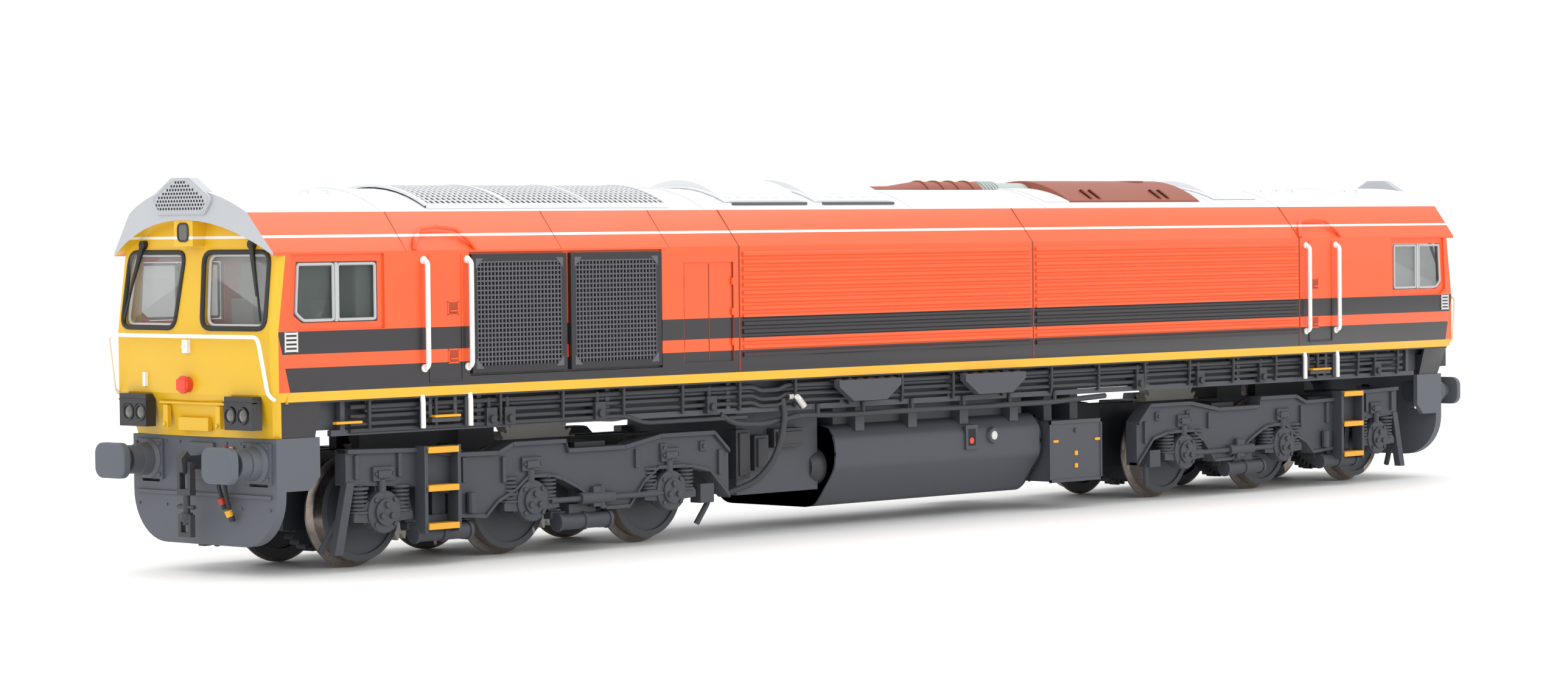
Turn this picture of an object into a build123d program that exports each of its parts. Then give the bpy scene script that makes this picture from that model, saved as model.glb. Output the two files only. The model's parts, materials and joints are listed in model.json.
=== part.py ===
from build123d import *
import os
from math import acos, atan2, cos, degrees, hypot, pi, radians, sin, sqrt, tan

os.makedirs("parts", exist_ok=True)

# A 4 mm to the foot model of a six-axle diesel locomotive. Millimetres, +Z up, +X towards cab two,
# origin midway along the model on the surface that its wheel flanges stand on.

# ---- overall sizes ----
over_buffers = 280.1
buffer_overhang = 7.75
half_width = 17.0
sill_z = 23.0
break_z = 42.9
eave_y = 12.6
eave_z = 48.2
crown_z = 51.5
shell_wall = 1.2

# ---- cab ends ----
apron_z = 18.4
apron_inset = 1.8
nose_z = 24.2
waist_z = 32.4
screen_top_z = 43.4
brow_z = 48.0
nose_depth = 3.1
corner_cut = 0.8
nose_flat_y = 1.8
nose_sweep = 0.8
brow_depth = 3.8
brow_corner_depth = 2.2
brow_lower_z = 42.5
brow_arch_z = 47.3
screen_in_y = 2.0
screen_margin = 1.7
screen_low_z = 32.9
screen_high_z = 43.0
screen_radius = 1.5
glass_thick = 0.8
glass_gap = 0.05

# ---- side openings ----
window_length = 14.4
window_setback = 1.4
window_low_z = 33.6
window_high_z = 41.6
window_chamfer = 1.4
grille_x0 = -100.0
grille_x1 = -63.7
grille_z0 = 26.0
grille_z1 = 42.3
grille_gap = 0.8
grille_thick = 0.5
door_x0 = -59.0
door_x1 = -48.8
door_z0 = 26.2
door_z1 = 40.6
panel_depth = 0.25
door_one_setback = (23.7, 31.6)
door_two_setback = (41.8, 33.3)
rail_z0 = 27.0
rail_z1 = 41.6
rail_r = 0.35
rail_stand = 0.9

# ---- roof ----
radiator_x0 = -103.4
radiator_x1 = -57.0
radiator_margin = 0.8
silencer_x0 = 29.3
silencer_x1 = 69.5
silencer_margin = 1.8
roof_fit = 0.05
flue_x0 = -3.0
flue_x1 = 26.0
flue_r = 3.2
hatch_rise = 0.35
horn_rise = 1.4

# ---- chassis ----
plate_z0 = 19.2
plate_inset = 2.6
plate_setback = 1.7
chassis_fit = 0.05
rail_low_z = 18.4
hanger_count = 10
rail_offset = 0.5
rail_width = 0.8
screw_x = 56.0
screw_y = 12.5
screw_r = 0.9
screw_head_r = 1.4
post_r = 2.0

# ---- bogies, wheels and gears ----
bogie_centres = 174.0
axle_spacing = 27.15
tread_r = 7.0
flange_h = 0.8
flange_t = 0.75
wheel_width = 2.8
back_to_back = 14.4
axle_r = 1.0
cap_r = 1.8
run_gap = 0.04
gear_module = 0.4
pressure_angle = 20.0
backlash = 0.10
gear_width = 2.0
axle_teeth = 28
idler_teeth = 42
worm_wheel_teeth = 16
worm_wheel_width = 1.6
worm_pitch_r = 2.0
worm_length = 7.6
worm_thin = 0.16
gear_shaft_r = 0.8
cheek_y0 = 1.6
cheek_y1 = 3.2
cheek_end = 35.2
cheek_low_z = 5.2
cheek_top_z = 15.6
cheek_wall = 1.4
side_y0 = 12.2
side_y1 = 14.4
box_y1 = 14.9
cap_y1 = 15.4
bogie_top_z = 16.4
bogie_outer_end = 33.5
bogie_inner_end = 39.4
bolster_top_z = 17.6
ladder_width = 6.6
ladder_y = 16.4
tread_rise = 5.2
pivot_r = 2.5
yaw_limit = 11.5
yaw_clearance = 0.3
tower_x0 = 7.4
tower_x1 = 21.6

# ---- motor and transmission ----
motor_r = 8.4
motor_half = 15.0
motor_wall = 0.8
magnet_r = 6.2
core_r = 5.4
shaft_r = 0.75
bearing_r = 2.0
flywheel_r = 7.4
flywheel_x0 = 19.0
flywheel_x1 = 30.0
cup_r = 2.6
cup_bore = 1.8
cup_depth = 4.6
cup_slot = 1.0
ball_r = 1.55
ball_x = 32.6
pin_r = 0.35
cardan_r = 0.8

# ---- buffers and couplings ----
buffer_y = 11.5
buffer_z = 15.1
beam_depth = 0.7
beam_t = 1.6
beam_overlap = 0.9
beam_low_z = 3.9
beam_corner_r = 7.0
buffer_head_w = 6.5
buffer_head_h = 4.8
buffer_head_t = 1.2
buffer_corner = 1.5
buffer_shank_r = 1.25
buffer_sleeve_r = 1.9
sleeve_length = 4.2
hook_z = 15.0

# ---- values that follow from those above ----
axle_z = tread_r + flange_h
face_x = over_buffers / 2
pivot_x = bogie_centres / 2
shell_x = face_x - buffer_overhang
nose_x = shell_x + nose_depth
brow_x = shell_x + brow_depth
brow_corner_x = shell_x + brow_corner_depth
beam_x = shell_x + beam_depth
sleeve_x = beam_x + sleeve_length
plate_x = shell_x - plate_setback
window_out_x = shell_x - window_setback
window_in_x = window_out_x - window_length
rails_x = (-shell_x + door_one_setback[0], -shell_x + door_one_setback[1],
           shell_x - door_two_setback[0], shell_x - door_two_setback[1])
apron_y = half_width - apron_inset
screen_out_y = half_width - screen_margin
plate_y = half_width - plate_inset
beam_half = plate_y + beam_overlap
rail_y0 = plate_y + rail_offset
rail_y1 = rail_y0 + rail_width
radiator_y = eave_y - radiator_margin
silencer_y = eave_y - silencer_margin
cab_x0 = window_in_x - 3.4
axle_gear_r = gear_module * axle_teeth / 2
idler_r = gear_module * idler_teeth / 2
worm_wheel_r = gear_module * worm_wheel_teeth / 2
idler_dx = axle_spacing / 2
idler_z = axle_z + sqrt((axle_gear_r + idler_r) ** 2 - idler_dx**2)
worm_wheel_z = idler_z + idler_r + worm_wheel_r
motor_z = worm_wheel_z + worm_wheel_r + worm_pitch_r
worm_tip_r = worm_pitch_r + gear_module
yaw = radians(yaw_limit)
tower_well_y = tower_x1 * sin(yaw) + cheek_y1 * cos(yaw) + yaw_clearance
tower_well_x = tower_x1 * cos(yaw) + cheek_y1 * sin(yaw) + yaw_clearance
gear_well_x = idler_dx + sqrt((idler_r + gear_module) ** 2 - (plate_z0 - idler_z) ** 2) + yaw_clearance
gear_well_y = gear_well_x * sin(yaw) + gear_width / 2 + yaw_clearance
ladder_x = idler_dx + 4.3


def box(x0, x1, y0, y1, z0, z1):
    """A block between two corners."""
    return Pos((x0 + x1) / 2, (y0 + y1) / 2, (z0 + z1) / 2) * Box(abs(x1 - x0), abs(y1 - y0), abs(z1 - z0))


def rod_x(x0, x1, y, z, r):
    return Pos((x0 + x1) / 2, y, z) * Rot(0, 90, 0) * Cylinder(r, abs(x1 - x0))


def rod_y(y0, y1, x, z, r):
    return Pos(x, (y0 + y1) / 2, z) * Rot(90, 0, 0) * Cylinder(r, abs(y1 - y0))


def rod_z(z0, z1, x, y, r):
    return Pos(x, y, (z0 + z1) / 2) * Cylinder(r, abs(z1 - z0))


def prism_x(sketch, x0, x1):
    """A sketch drawn as (y, z), pulled from x0 to x1."""
    return extrude(Plane.YZ.offset(x0) * sketch, x1 - x0)


def prism_y(sketch, y0, y1):
    """A sketch drawn as (x, z), pulled from y1 down to y0."""
    return extrude(Plane.XZ.offset(-y1) * sketch, y1 - y0)


def prism_z(sketch, z0, z1):
    return extrude(Plane.XY.offset(z0) * sketch, z1 - z0)


def poly(*points):
    return Polygon(*points, align=None)


def both_sides(shape):
    """A shape and its copy across the centre line."""
    return [shape, mirror(shape, Plane.XZ)]


def both_ends(shape):
    return [shape, mirror(shape, Plane.YZ)]


def solids_of(*shapes):
    """Every solid in the shapes, as one flat list."""
    found = []
    for shape in shapes:
        if isinstance(shape, (list, tuple)):
            found += solids_of(*shape)
        else:
            found += list(shape.solids())
    return found


def write(name, *shapes):
    """Writes one node from its solids."""
    export_step(Compound(children=solids_of(*shapes)), f"parts/{name}.step")


# ---- body shell ----


def body_section(inset=0.0, low=sill_z):
    """The cross-section of the body: upright sides, inward-leaning cantrails and an arched roof."""
    lean = hypot(half_width - eave_y, eave_z - break_z)
    side = half_width - inset
    knee_z = break_z - inset * (lean - (half_width - eave_y)) / (eave_z - break_z)
    top_y = eave_y - inset * 0.75
    top_z = eave_z - inset * 0.75
    walls = Polyline((-top_y, top_z), (-side, knee_z), (-side, low), (side, low), (side, knee_z), (top_y, top_z))
    roof = ThreePointArc((top_y, top_z), (0, crown_z - inset), (-top_y, top_z))
    return make_face(walls + roof)


def nose_plan(front, width):
    """A level slice of the cab end: flat middle, swept-back cheeks and cut corners."""
    back = shell_x - 6
    return poly(
        (back, -width), (front - nose_sweep - corner_cut, -width), (front - nose_sweep, -width + corner_cut),
        (front, -nose_flat_y), (front, nose_flat_y),
        (front - nose_sweep, width - corner_cut), (front - nose_sweep - corner_cut, width), (back, width),
    )


def nose_block(inset=0.0):
    """The stacked slices of the cab end, from the apron up to the brow."""
    slices = (
        (apron_z, nose_x - 1.8, apron_y), (sill_z, nose_x - 0.8, half_width - 0.6),
        (nose_z, nose_x, half_width), (waist_z, nose_x, half_width),
        (screen_top_z, nose_x - 1.5, half_width), (brow_z, nose_x - 2.1, half_width),
    )
    block = None
    for (z0, f0, w0), (z1, f1, w1) in zip(slices, slices[1:]):
        low = Plane.XY.offset(z0) * nose_plan(f0 - inset, w0 - inset)
        high = Plane.XY.offset(z1) * nose_plan(f1 - inset, w1 - inset)
        step = loft([low, high], ruled=True)
        block = step if block is None else block + step
    return block


def brow_block():
    """The visor over the windscreens, bowed forwards, with an arched lower edge."""
    top = prism_x(body_section(low=brow_lower_z), shell_x - 8, brow_x + 1)
    bow = ThreePointArc((brow_corner_x, half_width), (brow_x, 0), (brow_corner_x, -half_width))
    back = Polyline((brow_corner_x, -half_width), (shell_x - 8, -half_width), (shell_x - 8, half_width),
                    (brow_corner_x, half_width))
    plan = prism_z(make_face(bow + back), brow_lower_z - 1, crown_z + 1)
    arch = ThreePointArc((-half_width, brow_lower_z - 0.02), (0, brow_arch_z), (half_width, brow_lower_z - 0.02))
    under = prism_x(make_face(arch + Line(arch @ 1, arch @ 0)), shell_x - 1, brow_x + 2)
    return (top & plan) - under


def headlight_block():
    """The raised block over the screens that holds the headlight."""
    return box(shell_x - 1, brow_x - 0.2, -2.0, 2.0, screen_top_z + 0.4, brow_arch_z + 0.4)


def screen_sketch(grow=0.0):
    """One windscreen opening, drawn as (y, z) on the +Y side."""
    outline = poly(
        (screen_in_y + 0.9 - grow, screen_low_z - grow), (screen_out_y + grow, screen_low_z - grow),
        (screen_out_y - 0.4 + grow, screen_high_z + grow), (screen_in_y - grow, screen_high_z + grow),
    )
    return fillet(outline.vertices(), screen_radius + grow)


def window_sketch(grow=0.0):
    """One cab side window, drawn as (x, z), with its lower front corner cut."""
    x0 = window_in_x - grow
    x1 = window_out_x + grow
    z0 = window_low_z - grow
    z1 = window_high_z + grow
    return poly((x0, z0), (x1 - window_chamfer, z0), (x1, z0 + window_chamfer * 0.7), (x1 - 0.5, z1), (x0, z1))


def make_shell():
    outer = prism_x(body_section(), -shell_x, shell_x)
    cap = prism_x(body_section(low=apron_z - 1), -brow_x - 2, brow_x + 2)
    nose = nose_block() & cap
    shell = outer + nose + brow_block() + headlight_block()
    shell += mirror(nose, Plane.YZ)
    shell += mirror(brow_block(), Plane.YZ)
    shell += mirror(headlight_block(), Plane.YZ)
    core = prism_x(body_section(shell_wall, sill_z - 1), -shell_x + 0.4, shell_x - 0.4)
    hollow = nose_block(1.5) & prism_x(body_section(shell_wall, sill_z), shell_x - 5, brow_x)
    shell -= core
    seat = box(shell_x - 6.5, beam_x - beam_t + chassis_fit, -plate_y - chassis_fit, plate_y + chassis_fit,
               apron_z - 1, sill_z + chassis_fit)
    for cut in both_ends(hollow) + both_ends(seat):
        shell -= cut
    for side in both_sides(prism_x(screen_sketch(), shell_x - 4, brow_x + 2)):
        for cut in both_ends(side):
            shell -= cut
    for side in both_sides(prism_y(window_sketch(), half_width - 2, half_width + 1)):
        for cut in both_ends(side):
            shell -= cut
    recess = prism_y(window_sketch(1.0), half_width - 0.35, half_width + 1)
    for side in both_sides(recess):
        for cut in both_ends(side):
            shell -= cut
    pocket = box(grille_x0 - 0.3, grille_x1 + 0.3, half_width - 0.45, half_width + 1, grille_z0 - 0.3, grille_z1 + 0.3)
    door = box(door_x0, door_x1, half_width - panel_depth, half_width + 1, door_z0, door_z1)
    for cut in both_sides(pocket) + both_sides(door):
        shell -= cut
    shell -= box(radiator_x0 + 1.5, radiator_x1 - 1.5, -radiator_y + 1.5, radiator_y - 1.5, eave_z - 3, crown_z + 1)
    shell -= box(silencer_x0, silencer_x1, -silencer_y, silencer_y, eave_z - 3, crown_z + 1)
    shell -= box(flue_x0 - 0.4, flue_x1 + 0.4, -flue_r - 0.4, flue_r + 0.4, eave_z - 3, crown_z + 1)
    lens = rod_x(shell_x + 1.4, brow_x + 1, 0, (screen_top_z + brow_arch_z) / 2 + 0.5, 0.8 + glass_gap)
    for cut in both_ends(lens):
        shell -= cut
    for x in (-screw_x, screw_x):
        for y in (-screw_y, screw_y):
            web = box(x - 1.0, x + 1.0, y, (half_width - shell_wall / 2) * (1 if y > 0 else -1), sill_z, sill_z + 7)
            shell += rod_z(sill_z, sill_z + 7, x, y, post_r) + web
            shell -= rod_z(sill_z - 1, sill_z + 5.5, x, y, screw_r)
    return shell


# ---- glazing, grilles and body fittings ----


def make_windscreens():
    """One clear moulding at each end, its two panes joined behind the centre pillar."""
    pane = prism_x(screen_sketch(-glass_gap), nose_x - 2.6, nose_x - 2.6 + glass_thick)
    tie = box(nose_x - 2.6, nose_x - 2.6 + glass_thick / 2, -screen_in_y - 2, screen_in_y + 2,
              screen_low_z + 2, screen_low_z + 4)
    glazing = pane + mirror(pane, Plane.XZ)
    slab = nose_block(1.55) & prism_x(body_section(shell_wall + 0.05, sill_z), shell_x - 5, brow_x)
    plate = slab & box(nose_x - 3.4, nose_x - 2.6, -half_width, half_width, screen_low_z - 1.0, screen_high_z + 0.6)
    return both_ends(glazing + plate + tie)


def make_side_windows():
    """Sliding two-pane windows, each a frame with its panes, set into the openings."""
    outer = half_width - 0.35
    frame = prism_y(window_sketch(-glass_gap), outer - 0.8, outer)
    x_mid = (window_in_x + window_out_x) / 2
    rear = box(window_in_x + 0.6, x_mid - 0.3, outer - 0.4, outer + 1, window_low_z + 0.6, window_high_z - 0.6)
    front = window_sketch(-0.7)
    front_cut = prism_y(front, outer - 0.25, outer + 1) & box(x_mid + 0.3, 140, 0, 30, 0, 60)
    pane = frame - rear - front_cut
    return [both_ends(side) for side in both_sides(pane)]


def make_side_grilles():
    """Four etched grilles, two on each side at the cooling end."""
    middle = (grille_x0 + grille_x1) / 2
    y0 = half_width - 0.45
    y1 = y0 + grille_thick + 0.2
    panels = []
    for x0, x1 in ((grille_x0, middle - grille_gap / 2), (middle + grille_gap / 2, grille_x1)):
        sheet = box(x0 + 1.0, x1 - 1.0, y0, y0 + grille_thick / 2, grille_z0 + 1.0, grille_z1 - 1.0)
        frame = box(x0, x1, y0, y1, grille_z0, grille_z1) - box(
            x0 + 1.0, x1 - 1.0, y0 - 1, y1 + 1, grille_z0 + 1.0, grille_z1 - 1.0)
        panels.append(both_sides(frame + sheet))
    return panels


def roof_strip(x0, x1, y, rise, thick):
    """A plate that follows the roof's arch, its top face rise above the roof."""
    outer = prism_x(body_section(-rise), x0, x1)
    inner = prism_x(body_section(thick - rise, sill_z - 1), x0 - 1, x1 + 1)
    return (outer - inner) & box(x0, x1, -y, y, eave_z - 4, crown_z + 3)


def make_radiator_grille():
    return roof_strip(radiator_x0, radiator_x1, radiator_y, 0.3, 0.3)


def make_hatches():
    """Raised roof doors over the engine, and the plates beside the exhaust."""
    hatches = []
    for x0, x1, y in ((-44.0, -26.0, 10.5), (-24.5, -6.5, 10.5), (74.0, 86.0, 10.0)):
        hatches.append(roof_strip(x0, x1, y, hatch_rise, hatch_rise - 0.02))
    return hatches


def make_silencer():
    """The arched exhaust silencer box with its outlet."""
    gap = roof_fit
    bulk = prism_x(body_section(-0.2), silencer_x0 + gap, silencer_x1 - gap)
    bulk &= box(silencer_x0 + gap, silencer_x1 - gap, -silencer_y + gap, silencer_y - gap, eave_z - 1.5, crown_z + 3)
    outlet_x = silencer_x1 - 7
    bulk += rod_z(crown_z - 1, crown_z + 0.5, outlet_x, 0, 3.4)
    bulk -= rod_z(crown_z - 0.8, crown_z + 1, outlet_x, 0, 2.7)
    for x in (silencer_x0 + 8, silencer_x1 - 10):
        for dx in (0, 2.2):
            rib = prism_x(body_section(-0.5), x + dx, x + dx + 0.9) - prism_x(body_section(0.2), x, x + 4)
            for side in both_sides(box(x, x + 4, 7.6, silencer_y - 0.3, eave_z, crown_z + 3)):
                bulk += rib & side
    return bulk


def make_flues():
    """The exhaust pipe and expansion joint that lie along the roof's well."""
    z = crown_z - flue_r + 0.1
    pipe = rod_x(flue_x0, flue_x0 + 14, 0, z, flue_r)
    joint = rod_x(flue_x0 + 14, flue_x0 + 17, 0, z, flue_r - 0.2)
    tube = rod_x(flue_x0 + 17, flue_x1, 0, z, flue_r - 0.6)
    return pipe + joint + tube


def make_horn_grilles():
    """The horn housing on top of the visor, at each end."""
    low_z = eave_z - 0.2
    top_z = crown_z + horn_rise
    outline = poly((-5.0, low_z), (5.0, low_z), (6.6, low_z + 2.1), (1.9, top_z), (-1.9, top_z), (-6.6, low_z + 2.1))
    outline = fillet(outline.vertices(), 0.6)
    housing = prism_x(outline, brow_x - 1.2, brow_x + 0.25)
    return both_ends(housing - (brow_block() + headlight_block()))


def make_headlights():
    z = (screen_top_z + brow_arch_z) / 2 + 0.5
    lens = rod_x(shell_x + 1.5, brow_x - 0.3, 0, z, 0.8)
    return both_ends(lens)


def make_lamp_clusters():
    """Two lamp boxes on each cab end, each with a headlamp and a marker light."""
    z0 = apron_z + 1.2
    z1 = z0 + 4.4
    lamps = []
    for side in (-1, 1):
        y = side * 11.3
        case = box(nose_x - 1.0, nose_x + 0.7, y - 2.9, y + 2.9, z0, z1) - nose_block()
        rear = box(nose_x - 1.2, nose_x + 0.7, y - 2.9, y + 2.9, z0 - 1, z1 + 1)
        case = case & rear
        for dy in (-1.3, 1.3):
            case -= rod_x(nose_x + 0.5, nose_x + 1, y + dy, (z0 + z1) / 2, 0.9)
        lamps.append(both_ends(case.solids().sort_by(SortBy.VOLUME)[-1]))
    return lamps


def bent_rail(p0, p1, out, r):
    """A round handrail between two points, standing off by the vector out."""
    start = Vector(*p0)
    end = Vector(*p1)
    reach = Vector(*out)
    route = FilletPolyline(start, start + reach, end + reach, end, radius=r * 2.2)
    return sweep(Plane(origin=start, z_dir=reach) * Circle(r), path=route)


def make_door_rails():
    rails = []
    for x in rails_x:
        side = half_width
        rail = bent_rail((x, side, rail_z0), (x, side, rail_z1), (0, rail_stand, 0), rail_r)
        rails.append(both_sides(rail))
    return rails


def make_cab_rails():
    """The horizontal rail under the screens and its two slanting legs, at each end."""
    z = waist_z - 0.5
    x = nose_x + 0.6
    y = half_width - 1.2
    bar = rod_y(-y, y, x, z, 0.3)
    foot = (nose_x - 0.3, y + 0.7, nose_z - 0.7)
    leg = Vector(x, y, z) - Vector(*foot)
    plane = Plane(origin=foot, z_dir=leg)
    strut = extrude(plane * Circle(0.3), leg.length)
    rail = bar + strut + mirror(strut, Plane.XZ) + Pos(x, y, z) * Sphere(0.3) + Pos(x, -y, z) * Sphere(0.3)
    for dy in (-5.0, 5.0):
        rail += rod_x(nose_x, x, dy, z, 0.25)
    return both_ends(rail)


def make_wipers():
    wipers = []
    x = nose_x - 0.35
    for side in (-1, 1):
        top = Vector(x - 1.0, side * 12.6, screen_high_z + 0.6)
        tip = Vector(x + 0.25, side * 13.3, screen_low_z + 2.0)
        arm = tip - top
        wiper = extrude(Plane(origin=top, z_dir=arm) * Circle(0.25), arm.length)
        wipers.append(both_ends(wiper + Pos(*top) * Sphere(0.5)))
    return wipers


# ---- buffer beams ----


def make_valances():
    """The buffer beam with the deep snowplough valance and its side gussets."""
    outline = poly((-beam_half, apron_z), (-beam_half, beam_low_z), (beam_half, beam_low_z), (beam_half, apron_z))
    low = outline.vertices().sort_by(Axis.Y)[:2]
    plate = prism_x(fillet(low, beam_corner_r), beam_x - beam_t, beam_x)
    for y in (-buffer_y, buffer_y):
        plate -= rod_x(beam_x - 3, beam_x + 1, y, buffer_z, buffer_sleeve_r)
        plate -= box(beam_x - 3, beam_x + 1, y - 1.9, y + 1.9, 12.0, 12.6)
    plate -= box(beam_x - 3, beam_x + 1, -0.8 - run_gap, 0.8 + run_gap, hook_z - 1.2, hook_z + 1.2)
    for side in (-1, 1):
        gusset = poly((beam_x - beam_t, 11.4), (beam_x - beam_t, apron_z), (beam_x - 7.4, apron_z),
                      (beam_x - 7.4, 13.2), (beam_x - 5.6, 11.4))
        y = side * (beam_half - 0.4)
        plate += prism_y(gusset, y - 0.4, y + 0.4)
    plate += box(beam_x - 4, beam_x - beam_t, -plate_y + 1, plate_y - 1, apron_z - 1.4, plate_z0)
    return both_ends(plate)


def make_sleeves():
    sleeves = []
    for y in (-buffer_y, buffer_y):
        tube = rod_x(beam_x - 4.2, sleeve_x, y, buffer_z, buffer_sleeve_r)
        tube -= rod_x(beam_x - 3.8, sleeve_x + 1, y, buffer_z, buffer_shank_r + run_gap)
        sleeves.append(both_ends(tube))
    return sleeves


def make_buffer(y):
    """A sprung buffer: rounded head on a round shank, for the end at +X."""
    outline = Pos(y, buffer_z) * RectangleRounded(buffer_head_w, buffer_head_h, buffer_corner)
    head = prism_x(outline, face_x - buffer_head_t, face_x)
    rim = head.faces().sort_by(Axis.X)[-1].edges()
    head = fillet(rim, 0.35)
    return head + rod_x(beam_x - 2.0, face_x - buffer_head_t / 2, y, buffer_z, buffer_shank_r)


def make_hooks():
    """The drawhook, a flat forging that passes through the beam."""
    profile = poly((beam_x - 3.5, hook_z - 0.9), (beam_x + 2.0, hook_z - 0.9), (beam_x + 2.6, hook_z - 1.6),
                   (beam_x + 4.0, hook_z - 1.2), (beam_x + 4.2, hook_z + 0.6), (beam_x + 3.2, hook_z + 1.6),
                   (beam_x + 2.6, hook_z + 0.9), (beam_x - 3.5, hook_z + 0.9))
    hook = prism_y(profile, -0.6, 0.6)
    hook -= rod_y(-2, 2, beam_x + 3.0, hook_z - 0.3, 0.45)
    return both_ends(hook)


def make_link():
    """The hanging screw coupling at the +X end, turning on a pin through the hook."""
    x = beam_x + 3.0
    z = hook_z - 0.3
    pin = rod_y(-1.5, 1.5, x, z, 0.45 - run_gap)
    shackle = []
    for side in (-1, 1):
        shackle.append(box(x - 0.45, x + 0.45, side * 0.8, side * 1.4, z - 3.4, z + 0.5))
    yoke = box(x - 0.5, x + 0.5, -1.4, 1.4, z - 4.0, z - 3.2)
    screw = rod_z(z - 8.0, z - 3.4, x, 0, 0.5)
    nut = rod_z(z - 7.2, z - 6.4, x, 0, 0.85)
    bar = rod_y(-1.7, 1.7, x, z - 5.6, 0.3)
    bow = box(x - 0.4, x + 0.4, -1.3, 1.3, z - 9.6, z - 6.6) - box(x - 1, x + 1, -0.75, 0.75, z - 9.0, z - 7.6)
    return pin + shackle[0] + shackle[1] + yoke + screw + nut + bar + bow


def make_hoses():
    """Air pipes with taps on the buffer beams, and the red multiple-working socket on the nose."""
    hoses = []
    for y, drop in ((-4.2, 6.0), (-5.8, 7.2), (4.2, 5.6)):
        start = Vector(beam_x, y, buffer_z - 1.2)
        route = FilletPolyline(start, start + Vector(1.6, 0, 0), start + Vector(1.6, 0, -drop),
                               start + Vector(0.9, 0, -drop - 1.2), radius=0.7)
        hose = sweep(Plane(origin=start, z_dir=(1, 0, 0)) * Circle(0.45), path=route)
        hoses.append(both_ends(hose))
    socket = rod_x(nose_x, nose_x + 1.3, 0, 25.4, 1.1)
    hoses.append(both_ends(socket))
    return hoses


# ---- cab interiors ----


def make_cabs():
    """Floor, desk, seats and bulkhead of each cab, one moulding."""
    floor_z = 26.0
    side = half_width - shell_wall - 0.4
    x1 = shell_x - 2.0
    floor = box(cab_x0, x1, -side, side, floor_z, floor_z + 0.8)
    wall = box(cab_x0, cab_x0 + 1.0, -side, side, floor_z, break_z - 1.4)
    desk = box(x1 - 4.2, x1, -side + 2, side - 2, floor_z, screen_low_z - 2.2)
    cab = floor + wall + desk
    for y in (-8.5, 8.5):
        seat_x = cab_x0 + 6.0
        cab += box(seat_x, seat_x + 4.5, y - 2.4, y + 2.4, floor_z, floor_z + 4.6)
        cab += box(seat_x - 0.8, seat_x + 0.2, y - 2.4, y + 2.4, floor_z, floor_z + 10.5)
    return both_ends(cab)


# ---- chassis ----


def make_chassis():
    """The die-cast floor with wells for the motor and the gear towers, and the motor's saddles."""
    top = sill_z
    frame = box(-plate_x, plate_x, -plate_y, plate_y, plate_z0, top)
    frame -= box(-34, 34, -9.4, 9.4, plate_z0 - 1, top + 1)
    for end in (-1, 1):
        frame -= box(end * (pivot_x + 5), end * (pivot_x + tower_well_x), -tower_well_y, tower_well_y,
                     plate_z0 - 1, top + 1)
        frame -= box(end * (pivot_x - gear_well_x), end * (pivot_x - 4.2), -gear_well_y, gear_well_y,
                     plate_z0 - 1, top + 1)
        frame -= rod_z(plate_z0 - 1, top + 1, end * pivot_x, 0, pivot_r + run_gap)
        saddle = box(end * 9, end * 13, -10.6, 10.6, plate_z0, motor_z)
        saddle -= rod_x(-20, 20, 0, motor_z, motor_r)
        frame += saddle
    for x in (-screw_x, screw_x):
        for y in (-screw_y, screw_y):
            frame -= rod_z(plate_z0 - 1, top + 1, x, y, screw_r + 0.1)
    return frame


def make_screws():
    screws = []
    for x in (-screw_x, screw_x):
        for y in (-screw_y, screw_y):
            head = rod_z(plate_z0 - 0.7, plate_z0, x, y, screw_head_r)
            head -= box(x - 1.2, x + 1.2, y - 0.15, y + 0.15, plate_z0 - 1, plate_z0 - 0.4)
            head -= box(x - 0.15, x + 0.15, y - 1.2, y + 1.2, plate_z0 - 1, plate_z0 - 0.4)
            screws.append(head + rod_z(plate_z0, sill_z + 5, x, y, screw_r))
    return screws


def make_ballast():
    """Two weights that straddle the drive shafts."""
    weight = box(37.0, 80.0, -10.2, 10.2, sill_z, 40.0)
    weight -= box(36.0, 81.0, -2.6, 2.6, sill_z - 1, motor_z + 3.0)
    return both_ends(weight)


def make_tank():
    """The fuel tank between the bogies, D-shaped in section, hung from the floor."""
    section = poly((-12.4, 15.6), (-14.0, 13.4), (-14.0, 9.2), (-9.6, 3.2), (9.6, 3.2), (14.0, 9.2),
                   (14.0, 13.4), (12.4, 15.6))
    section = fillet(section.vertices(), 2.0)
    tank = prism_x(section, -24.2, 23.6)
    tank += box(-22.0, 22.0, -11.5, 11.5, 15.0, plate_z0)
    return tank


def make_battery_box():
    box_body = box(24.9, 37.6, -15.0, 15.0, 4.6, 14.2)
    for x in (27.0, 33.5):
        box_body += box(x, x + 2.0, -12.0, 12.0, 14.0, plate_z0)
    equipment = box(-43.0, -25.4, -11.5, 11.5, 6.0, plate_z0)
    return [box_body, equipment]


def make_pipework():
    """The running rail below each sill, its hangers, and the air pipes."""
    bars = []
    for side in (-1, 1):
        y0 = side * rail_y0
        y1 = side * rail_y1
        end_x = plate_x - 6.6
        rail = box(-end_x, end_x, y0, y1, rail_low_z, rail_low_z + 0.8)
        for k in range(hanger_count + 1):
            x = (end_x - 2.0) * (2 * k / hanger_count - 1)
            rail += box(x - 0.4, x + 0.4, y0, y1, rail_low_z, sill_z)
            rail += box(x - 0.4, x + 0.4, side * plate_y, y1, plate_z0 + 0.6, plate_z0 + 1.4)
        rail += rod_x(-end_x + 6, end_x - 6, side * (rail_y0 + 0.3), 21.6, 0.4)
        bars.append(rail)
    return bars


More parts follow.
